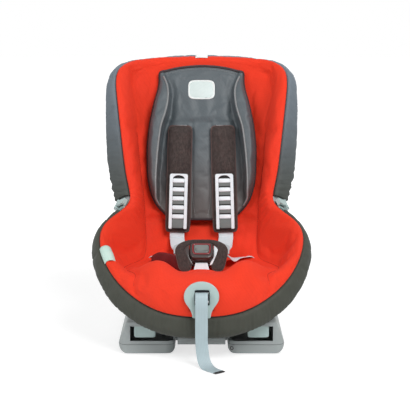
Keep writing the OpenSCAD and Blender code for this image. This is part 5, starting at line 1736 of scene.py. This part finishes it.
@dataclass
class Buckle(Leaning):
    """The buckle, leaning back on the crotch strap, with the plush pad that wraps round it."""

    at: Three = (0.0, -22.0, 177.0)
    lean: float = 56.0
    width: float = 52.0
    length: float = 48.0
    low: float = 9.0
    top: float = 12.0
    button: Two = (32.0, 24.0)
    button_l: float = 2.0
    button_proud: float = 1.5
    button_low: float = 8.3
    # Half widths of the pad behind the buckle, at places along it.
    butterfly: Pairs = (
        (-25, 40), (-18, 45), (-8, 47), (6, 45), (15, 42), (20, 32), (24, 24))
    pad: float = 9.0
    # The padded collar: across, along, half its width and how far it stands out, from the middle down one side.
    collar: tuple[Four, ...] = (
        (0, 29.4, 4.8, 6), (9, 29.2, 4.8, 6), (21, 27.6, 5.6, 6.4), (33, 21.5, 7.6, 7.5), (42, 12.5, 9, 8.5),
        (46, 3, 9.6, 8.5), (45, -7, 10.6, 7.5), (41, -18, 12.4, 3), (36, -31, 13.6, -4), (33, -45, 12, -8))
    collar_thick: float = 4.2
    # The cheeks beside the housing: along, inner and outer edge across, and how far they stand out, from the top
    # down.
    cheek: tuple[Four, ...] = (
        (19, 26.5, 29.5, 6.6), (13, 26.5, 35, 7), (4, 26.5, 38.5, 7), (-6, 26.5, 37, 6), (-15, 25.8, 32.5, 3.2),
        (-24, 20.5, 27.5, -1.2), (-31, 17.5, 21, -4.6))

    @property
    def origin(self) -> Array:
        """Middle of the buckle."""
        return np.array(self.at)

    def face(self, grow: float, power: float) -> Array:
        """The button's outline, grown, with its lower corners drawn in."""
        shape = round_outline(self.button[0] / 2 + grow, self.button[1] / 2 + grow, power, 64)
        return shape * np.column_stack([1 - 0.1 * ramp(-shape[:, 1], 2, 16), np.ones(64)]) + [0, self.button_l]

    def build(self) -> None:
        """Builds housing, trim, button and pad."""
        outer = round_outline(self.width / 2, self.length / 2, 5.5, 64)
        outer = outer * np.column_stack([1 - 0.16 * ramp(-outer[:, 1], 4, 28), np.ones(64)])
        hole, trim = self.face(0.6, 8), self.face(4.6, 7)
        levels = ((hole, 2.6), (outer * 0.985, 2.3), (outer, 4), (outer, self.top - 5),
                  (outer * 0.975, self.top - 2.4), (outer * 0.93, self.top - 0.8), (trim * 1.06, self.top),
                  (trim, self.top - 0.6), (hole, self.top - 0.6))
        dress(self.put(ring_piece("buckle_body", levels)), DARK_NYLON, "buckle_housing")
        rim = ((hole, self.top - 0.8), (trim * 0.99, self.top - 0.8), (trim * 0.99, self.top + 0.3),
               ((trim + hole) / 2, self.top + 0.8), (hole, self.top + 0.3))
        dress(self.put(ring_piece("buckle_trim", rim)), RED_ABS)
        up, edge, middle = self.top + self.button_proud, self.face(0, 8), np.array([0, self.button_l])
        dish = edge - middle
        button = block_piece("buckle_press", (
            (edge, self.button_low), (edge, up - 2), (dish * 0.96 + middle, up - 0.8),
            (dish * [0.9, 0.86] + middle, up - 0.5), (dish * [0.84, 0.5] + middle - [0, 1], up - 2.2)))
        dress(self.put(button), BUTTON_ABS, "buckle_button", "buckle_button")
        self.build_pad()
        self.build_collar()
        # Painted light and shade: one cheek plate on each side, white on the right where lit and dark on the left
        # where shaded.
        self.build_cheek(Side.RIGHT, WHITE_NYLON)
        self.build_cheek(Side.LEFT, DARK_NYLON)
        CoilSpring("buckle_spring", tuple(self.point(0, self.button_l, 2.1)), tuple(self.axes[2]), radius=5, wire=0.8,
                   height=5.9, turns=3, body="seat", joint="buckle_press", travel=3.5).build()

    def build_cheek(self, side: Side, finish: Finish) -> None:
        """Builds the thin plate that fills one side between the housing and the collar.

        Args:
            side: which side of the buckle.
            finish: its surface; white on the lit right side, dark on the shaded left side, as painted light and
                shade.
        """
        rows = smooth_route(np.array(self.cheek), 2.5)
        f = np.linspace(0, 1, 9)[None, :]
        spot = np.stack([side.value * (rows[:, 1:2] + (rows[:, 2:3] - rows[:, 1:2]) * f), rows[:, :1] + 0 * f,
                         rows[:, 3:] + 0.7 * np.sin(math.pi * f)], -1)
        half = 0.8 * UPWARD
        dress(self.put(skin_piece(f"buckle_cheek_{side.word}", spot - half, spot + half)), finish)

    def build_pad(self) -> None:
        """Builds the pad's middle, behind the buckle."""
        table = np.array(self.butterfly)
        l1 = np.linspace(table[0, 0], table[-1, 0], 41)
        rough = np.pad(np.interp(l1, table[:, 0], table[:, 1]), 3, mode="edge")
        widths = np.convolve(rough, np.ones(7) / 7, "valid")
        widths = widths * np.sqrt(np.clip(1 - ((np.abs(l1 + 0.5) - 16) / 8.6).clip(0, 1) ** 2 * 0.55, 0, 1))
        along, f = mesh_grid(l1, np.linspace(-1, 1, 65))
        x = f * widths[:, None]
        beside = ramp(np.abs(x), self.width / 2 + 0.6, self.width / 2 + 2) * (1 - ramp(np.abs(along), 18, 23))
        front = -self.low - 0.6 + 7.2 * beside
        ends = 1 - np.abs((along + 0.5) / 25) ** 10 * 0.7
        back = -self.low - 2.6 - (self.pad - 2) * np.sqrt(np.clip(1 - f**6, 0.02, 1)) * ends
        front_grid = np.stack([x, along, front - 1.2 * np.abs(f) ** 8], -1)
        pad = skin_piece("crotch_pad_plush", front_grid, np.stack([x, along, back], -1))
        dress(self.put(pad), BROWN_PLUSH, "crotch_pad")

    def build_collar(self) -> None:
        """Builds the padded collar that wraps the buckle's top and hangs down beside the crotch strap."""
        table = np.array(self.collar)
        rows = smooth_route(np.concatenate([table[:0:-1] * [-1, 1, 1, 1], table]), 2.2)
        flat = np.column_stack([rows[:, :2], np.zeros(len(rows))])
        across = route_frames(flat, UPWARD)[2]
        f = np.linspace(-1, 1, 19)[None, :, None]
        run = np.linspace(-1, 1, len(rows))[:, None, None]
        end = np.sqrt(np.clip(1 - ((np.abs(run) - 0.9) / 0.1).clip(0, 1) ** 2, 0.04, 1))
        spot = flat[:, None] + f * rows[:, 2, None, None] * (0.4 + 0.6 * end) * across[:, None]
        thick = (0.6 + self.collar_thick * np.sqrt(np.clip(1 - np.abs(f) ** 3, 0, 1))) * (0.3 + 0.7 * end)
        spot = spot + rows[:, 3, None, None] * UPWARD
        held = np.clip(bump(np.abs(f), 1, 0.12) + bump(np.abs(run), 1, 0.03), 0, 1)[..., 0]
        high = puffed(spot + thick * UPWARD, UPWARD, held, 3.0, 1.5)
        low = spot - 0.7 * thick * UPWARD
        collar = skin_piece("buckle_collar", low, high)
        dress(self.put(collar), BROWN_PLUSH)
        loop = smooth_closed(grid_edge((low + high) / 2))
        dress(self.put(tube_piece("buckle_collar_binding", loop, 1.2, 8, True)), BROWN_TAPE)


@dataclass
class Harness:
    """Webbing: shoulder, lap and crotch straps that meet in the buckle."""

    buckle: Buckle
    width: float = 36.0
    thick: float = 1.6
    strap_x: float = 49.0
    slot: float = 243.0
    front: float = 38.2
    behind: float = -13.0
    yoke_x: float = 20.0
    yoke_s: float = 62.0
    pad_end: float = -9.0
    loop_x: float = 45.0
    lap_a: float = 5.01
    lap_x: float = 116.0

    def build(self) -> None:
        """Builds all the straps."""
        for side in Side:
            self.shoulder(side)
            self.lap(side)
        self.crotch()
        self.flap()

    def flap(self) -> None:
        """A loose flap of the cover's lining beside the left lap strap, deep maroon as painted shade under the strap.
        """
        u, v = mesh_grid(np.linspace(0, 1, 25), np.linspace(0, 1, 9))
        top = 169 + 12 * np.sin(math.pi * u**0.8) - 4 * ramp(u, 0.8, 1)
        depth = -18 - 28 * u + 4 * np.sin(9 * u + 2 * v) - 8 * v * (1 - v)
        spot = np.stack([-108 + 68 * u, depth, top - (34 + 4 * np.sin(7 * u)) * v], -1)
        thick = grid_normals(spot) * (0.5 + 0.5 * np.sin(math.pi * v))[..., None]
        # Painted shade: the flap's deep maroon draws the shadow under the left lap strap.
        flap = dress(skin_piece("cover_flap", spot - thick, spot + thick), SHADED_RED_JERSEY)

    def shoulder(self, side: Side) -> None:
        """A shoulder strap from the yoke over the slot and under the chest pad to the tongue.

        Args:
            side: which side.
        """
        x, top, n = self.strap_x, self.slot, self.front
        spots = [(self.yoke_x, self.yoke_s, self.behind), (30, 110, self.behind), (x, 180, self.behind),
                 (x, top - 16, self.behind), (x, top - 3, self.behind + 4), (x, top + 2, 0), (x, top + 2, n - 10),
                 (x, top, n - 3), (x, top - 4, n), (x + 1, top - 60, n), (x + 5, self.pad_end + 10, n),
                 (x + 5, self.pad_end - 2, n)]
        end = self.buckle.point(self.loop_x, 8, 0)
        points = [BUCKET.back_point(*p) for p in spots] + [np.array([x + 2, 24, end[2] + 3]), end + [0, 8, 0.5]]
        route = smooth_route(points, 5) * side.mirror
        strap = ribbon_piece(f"shoulder_webbing_{side.word}", route, ACROSS, self.width - 4, self.thick)
        dress(strap, SILVER_WEBBING, f"shoulder_strap_{side.word}", None)
        top_end = BUCKET.back_point(side.value * (x + 5), self.pad_end - 2, n)
        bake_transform(strap)

    def lap(self, side: Side) -> None:
        """A lap strap from the tongue's loop to its hole in the shell, standing on edge.

        Args:
            side: which side.
        """
        start = self.buckle.point(self.loop_x + 12, -6, -2)
        t = float(BUCKET.t_at_x(self.lap_a, self.lap_x))
        hole = BUCKET.point(self.lap_a, t)
        points = [start, (69, -4, start[2] - 9), (92, hole[1] - 8, hole[2] + 7), hole + [-5, -2, 8], hole,
                  BUCKET.off(self.lap_a, t, -11.5)]
        across = [(0.1, 1, -0.1), (0.1, 1, -0.15), (0.05, 1, -0.15), (0, 1, -0.05), (-0.2, 1, 0.2), (-0.2, 1, 0.2)]
        both = smooth_route([[*p, *c] for p, c in zip(points, across)], 4)
        mirror = side.mirror
        strap = ribbon_piece(f"lap_webbing_{side.word}", both[:, :3] * mirror, both[:, 3:] * mirror, self.width - 6,
                             self.thick)
        dress(strap, SILVER_WEBBING, f"lap_strap_{side.word}", None)
        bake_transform(strap)

    def crotch(self) -> None:
        """The crotch strap, wide at the seat and narrower at the buckle."""
        station = float(BUCKET.find(lambda a: BUCKET.point(a, 0 * a)[..., 1], SHELL.crotch_y, 0, 6))
        foot = self.buckle.point(0, -self.buckle.length / 2 - 0.3, -self.buckle.low / 2)
        hole = BUCKET.point(station, 0) + [0, 0, 4]
        points = [BUCKET.off(station, 0, -5.9), hole, (hole + foot) / 2 + [0, -3, 0], foot]
        route = smooth_route(points, 3)
        width = np.interp(np.linspace(0, 1, len(route)), [0, 0.5, 1], [self.width, self.width, self.width * 0.72])
        strap = ribbon_piece("crotch_webbing", route, ACROSS, width, self.thick)
        dress(strap, SILVER_WEBBING, "crotch_strap")


@dataclass
class Adjuster(Leaning):
    """The front adjuster: keyhole plate, hidden strap and the free webbing that hangs from it."""

    lean: float = 8.0
    radius: float = 35.0
    tip: float = -38.0
    tip_half: float = 18.0
    neck: float = -12.5
    head_mid: float = 5.0
    thick: float = 5.0
    slot_middle: Two = (1.2, 2.5)
    slot_half: Two = (14.7, 15.5)
    width: float = 25.0
    tail_thick: float = 2.0
    strap_l: float = 12.0
    clear: float = 0.3
    # The free end, after the two points that are worked out from the plate.
    tail: tuple[Three, ...] = (
        (0, -264.5, 141.5), (0, -268.5, 136), (0, -270.3, 128), (0, -271, 117), (0, -271, 105), (0, -271, 93),
        (0, -271, 79), (0, -271, 65), (0, -272, 51), (1, -274, 37), (2.5, -278, 24), (5, -284, 13), (9, -291, 6),
        (14, -298, 2.8), (20, -306, 1.8), (26, -313, 1.6), (32, -320, 1.6))

    @property
    def origin(self) -> Array:
        """Finds the middle of the plate's round head, on its underside, just clear of the cover behind it.

        Returns:
            The point.
        """
        base, t = np.array([0, -242.0, 129.0]), np.arange(1.2, 3.21, 0.1)
        cover = BUCKET.off(0 * t, t, COVER.top(0 * t, t))
        return base + (self.clear + ((cover - base) @ self.axes[2]).max()) * self.axes[2]

    def build_tail(self) -> None:
        """Builds the free webbing, a cord that leaves the plate and ends in its moulded tab."""
        leave, start = self.point(0, self.strap_l, self.thick), self.point(0, self.strap_l, self.thick + 5)
        line = smooth_route([leave, start, *self.tail], 4)
        tail = ribbon_piece("tail_webbing", line, ACROSS, self.width, self.tail_thick)
        # Painted shade: the free end takes the darker copy of the harness webbing.
        dress(tail, SHADED_WEBBING, "adjuster_tail")
        coat("tail_tab", BLACK_RUBBER)

    def build(self) -> None:
        """Builds the keyhole plate, a black lining in its slot as painted shade, and the strap behind it."""
        turn = np.arange(96) * 2 * math.pi / 96
        outer = np.array([self.edge_at(v) for v in turn])
        inner = round_outline(*self.slot_half, 12, 96) + self.slot_middle
        top = self.thick
        levels = ((inner, 0.2), (outer * 0.985, 0.0), (outer, 0.8), (outer, top - 1.4), (outer * 0.985, top - 0.5),
                  (outer * 0.95, top), (inner * [1.12, 1.09], top), (inner * [1.05, 1.04], top - 0.3),
                  (inner, top - 1.2))
        dress(self.put(ring_piece("keyhole_plate", levels)), PALE_ABS, "adjuster_plate")
        # Painted shade: a black lining round the inside of the slot draws the shadow within it.
        lip = [(inner * k, z) for k, z in ((0.985, top - 1.4), (0.985, 0.6), (0.95, 0.6), (0.95, top - 1.8))]
        dress(self.put(ring_piece("plate_slot_shade", lip)), BLACK_RUBBER)
        back = [BUCKET.back_point(0, s, -13) for s in (48, 34)]
        under = [BUCKET.off(a, 0, -13.5) for a in np.arange(6.8, 1.8, -0.7)]
        route = smooth_route([*back, *under, *[self.point(0, self.strap_l, n) for n in (-29, -23, 5)]], 5)
        strap = ribbon_piece("adjuster_webbing", route, ACROSS, self.width, 1.6)
        dress(strap, SILVER_WEBBING, "adjuster_strap")

    def edge_at(self, turn: float) -> Array:
        """The plate's edge in a direction: round above, with hollow flanks down to a flat tip.

        Args:
            turn: the direction, in radians from across.

        Returns:
            The edge's x, y point.
        """
        ray = np.array([math.cos(turn), math.sin(turn)])
        reach = np.linspace(0, 60, 1201)
        x, y = np.abs(reach * ray[0]), reach * ray[1]
        rise = self.radius - self.head_mid
        neck_half = self.radius * math.sqrt(1 - ((self.neck - self.head_mid) / rise) ** 2)
        share = np.clip((y - self.tip) / (self.neck - self.tip), 0, 1)
        flank = self.tip_half + (neck_half - self.tip_half) * share ** 2
        round_half = self.radius * np.sqrt(np.clip(1 - ((y - self.head_mid) / rise) ** 2, 0, None))
        inside = (x <= np.where(y > self.neck, round_half, flank)) & (y >= self.tip) & (y <= self.radius)
        return reach[np.argmax(~inside) - 1] * ray


# The base and the studio


@dataclass
class Base:
    """The moulded base, with the small marks of its moulding, and the hardware that keeps its solids."""

    # Which CAD nodes that stay in view have which finish.
    finishes: tuple[tuple[Finish, str], ...] = (
        (GREY_PP, "base_rail_left base_rail_right base_cross_front base_cross_rear shell_runner_left "
                  "shell_runner_right recline_rack recline_handle"),
        (PALE_ABS, "belt_guide_left belt_guide_right belt_clamp_left belt_clamp_right"),
        (PLATED_STEEL, "tongue_left tongue_right base_screws latch_bar glide_pins harness_yoke lap_anchors "
                       "crotch_anchor buckle_latch clamp_pins adjuster_pin adjuster_spring"),
        (PHOSPHATED_STEEL, "adjuster_bracket adjuster_cam"), (BLACK_RUBBER, "foot_pads"), (DARK_NYLON, "buckle_back"))

    # A foot: middle, half width and half length of its plan, the corners' radius and the parting line's height.
    foot_at: Two = (112.0, 24.0)
    foot_half: Two = (58.0, 211.0)
    corner: float = 20.0
    seam_z: float = 19.5
    # The plate behind a foot's window: from, to, across and up, and how far it is set back.
    deck_x: Two = (94.0, 138.0)
    deck_z: Two = (33.5, 62.8)
    deck_y: Two = (-183.5, -160.0)

    def build(self) -> None:
        """Coats every node that stays and adds the marks of the moulding."""
        for finish, nodes in self.finishes:
            for node in nodes.split():
                coat(node, finish)
        for side in Side:
            self.build_deck(side)
            self.build_seam(side)
        self.build_hole_shade()
        CoilSpring("latch_spring", (0, -69.7, 65), (0, 1, 0), radius=6, wire=1.4, height=29.4, turns=6, body="base",
                   joint="recline_handle_pull", travel=12).build()

    def build_deck(self, side: Side) -> None:
        """Builds the pale plate that shows in a foot's window.

        Args:
            side: which foot.
        """
        half = ((self.deck_x[1] - self.deck_x[0]) / 2, (self.deck_z[1] - self.deck_z[0]) / 2)
        shape, deep = round_outline(*half, 9, 64), self.deck_y[1] - self.deck_y[0]
        deck = block_piece(f"foot_deck_{side.word}", (
            (shape, 0), (shape, deep - 2), (shape * 0.985, deep - 0.6), (shape * 0.965, deep),
            (shape * 0.8, deep - 0.4)))
        middle = np.array([side.value * sum(self.deck_x) / 2, self.deck_y[1], sum(self.deck_z) / 2])
        dress(place(deck, middle, np.array([[1, 0, 0], [0, 0, 1], [0, -1, 0]])), PALE_ABS, body="base")

    def build_seam(self, side: Side) -> None:
        """Builds the fine bead that the mould's parting line leaves round a foot, in darker grey as painted shade of
        that step.

        Args:
            side: which foot.
        """
        turn = np.linspace(0, 2 * math.pi, 96, endpoint=False)
        inner = np.array(self.foot_half) - self.corner - 0.15
        plan = np.column_stack([np.cos(turn), np.sin(turn)])
        loop = plan * self.corner + np.where(np.abs(plan) > 1e-6, np.sign(plan), 1) * inner + [
            side.value * self.foot_at[0], self.foot_at[1]]
        line = flat_rings([(loop, self.seam_z)])[0]
        # Painted shade: the bead's darker grey draws the shaded step at the parting line.
        dress(tube_piece(f"foot_seam_{side.word}", line, 0.7, 6, True), GREY_RUBBER, body="base",
              slot=Slot.GREY_PLASTIC)

    def build_hole_shade(self) -> None:
        """Builds a small dark disc in the drain hole at the right foot's inner corner: painted shade of the hole."""
        out = np.array([-0.6, -0.8, 0.0])
        at = np.array([74, -167, 11.5]) + 19.2 * out
        shape = round_outline(4.2, 4.2, 2, 32)
        hole_shade = block_piece("drain_hole_shade", ((shape, 0), (shape, 1.0), (shape * 0.8, 1.3), (shape * 0.6, 0.7)))
        # Painted shade: a dark disc stands for the shadow inside the drain hole.
        dress(place(hole_shade, at, np.array([[0.8, -0.6, 0], [0, 0, 1], out])), DARK_NYLON, body="base")


@dataclass
class Studio:
    """A pale floor, a white world, soft lamps and the camera of the photograph."""

    sensor: float = 36.0
    focal_px: float = 1250.0
    frame_px: float = 410.0
    distance: float = 2700.0
    elevation: float = 9.0
    target_z: float = 279.2
    shift_x: float = 0.0085
    floor_shade: float = 0.45
    floor_glow: float = 0.7
    sky: float = 0.26
    aim: Three = (0, 0, 0.28)
    # The lamps: name, place and side in metres, and power in watts.
    lamps: tuple[tuple[str, Three, float, float], ...] = (
        ("key_lamp", (1.3, -2.0, 2.5), 1.5, 70), ("fill_lamp", (-2.2, -1.6, 1.6), 1.8, 30),
        ("rear_lamp", (0.6, 2.2, 2.2), 1.6, 24))

    def camera(self) -> None:
        """Sets the camera at the photograph's angle."""
        data = bpy.data.cameras.new("camera")
        data.sensor_fit, data.sensor_width = "HORIZONTAL", self.sensor
        data.lens = self.sensor * self.focal_px / self.frame_px
        data.shift_x = self.shift_x
        data.clip_end = 100
        lift = math.radians(self.elevation)
        item = bpy.data.objects.new("camera", data)
        item.location = (0, -self.distance * math.cos(lift) * MM,
                         (self.target_z + self.distance * math.sin(lift)) * MM)
        item.rotation_euler = (math.pi / 2 - lift, 0, 0)
        bpy.context.scene.collection.objects.link(item)
        bpy.context.scene.camera = item

    def lamp(self, name: str, at: Sequence[float], size: float, power: float) -> None:
        """A soft square lamp that faces the seat.

        Args:
            name: the lamp's name.
            at: its place in metres.
            size: its side in metres.
            power: its power in watts.
        """
        data = bpy.data.lights.new(name, "AREA")
        data.size, data.energy = size, power
        item = bpy.data.objects.new(name, data)
        item.location = at
        item.rotation_euler = (Vector(self.aim) - Vector(at)).to_track_quat("-Z", "Y").to_euler()
        bpy.context.scene.collection.objects.link(item)

    def backdrop(self) -> None:
        """Floor and world, white to the camera and in reflections, where the floor keeps the seat's shadow."""
        bpy.ops.mesh.primitive_grid_add(x_subdivisions=8, y_subdivisions=8, size=30, location=(0, 0, -0.0005))
        floor = bpy.context.object
        floor.name = "studio_floor"
        made = bpy.data.materials.new("matt_paper_white")
        tree = fresh_tree(made)
        paper = add_node(tree, "BsdfDiffuse", {"Color": linear_colour("#fafafa")})
        shadow = add_node(tree, "BsdfDiffuse", {"Color": (self.floor_shade,) * 3 + (1,)})
        spot = add_node(tree, "TexCoord")
        reach = add_node(tree, "VectorMath", {0: spot.outputs["Object"]}, operation="LENGTH").outputs["Value"]
        far = add_node(tree, "MapRange", {
            "Value": reach, "From Min": 0.5, "From Max": 1.6, "To Min": self.floor_glow, "To Max": 1.0},
            interpolation_type="SMOOTHSTEP")
        glow = add_node(tree, "Emission", {"Color": (1, 1, 1, 1), "Strength": far.outputs[0]})
        bright = add_node(tree, "AddShader", {0: shadow.outputs[0], 1: glow.outputs[0]})
        mixed = add_node(tree, "MixShader", {0: self.seen(tree), 1: paper.outputs[0], 2: bright.outputs[0]})
        add_node(tree, "OutputMaterial", {"Surface": mixed.outputs[0]})
        floor.data.materials.append(made)
        world = bpy.data.worlds.new("studio")
        bpy.context.scene.world = world
        tree = fresh_tree(world)
        light, white = (add_node(tree, "Background", {"Color": (1, 1, 1, 1), "Strength": strength})
                        for strength in (self.sky, 1.0))
        mixed = add_node(tree, "MixShader", {0: self.seen(tree), 1: light.outputs[0], 2: white.outputs[0]})
        add_node(tree, "OutputWorld", {"Surface": mixed.outputs[0]})

    def seen(self, tree: Tree) -> Socket:
        """Whether a ray comes from the camera, a reflection or through something clear.

        Args:
            tree: the node tree.

        Returns:
            A socket that is 1 for such rays.
        """
        path = add_node(tree, "LightPath")
        total = path.outputs["Is Camera Ray"]
        for name in ("Is Glossy Ray", "Is Transmission Ray"):
            total = add_node(tree, "Math", {0: total, 1: path.outputs[name]}, operation="MAXIMUM").outputs[0]
        return total

    def build(self) -> None:
        """Sets floor, light and picture."""
        bpy.context.scene.view_settings.view_transform = "Standard"
        self.backdrop()
        for lamp in self.lamps:
            self.lamp(*lamp)


def main() -> None:
    """Builds the seat piece by piece."""
    logging.basicConfig(level=logging.INFO, format="%(message)s")
    studio = Studio()
    studio.camera()
    adjuster = Adjuster()
    adjuster.build_tail()
    SHELL.build()
    SHELL.build_ribs()
    COVER.build()
    Borders().build()
    insert = HeadInsert()
    insert.build()
    Labels().build(insert)
    for side in Side:
        ChestPad(side).build()
    buckle = Buckle()
    buckle.build()
    Harness(buckle).build()
    adjuster.build()
    Base().build()
    studio.build()


if __name__ == "__main__":
    main()
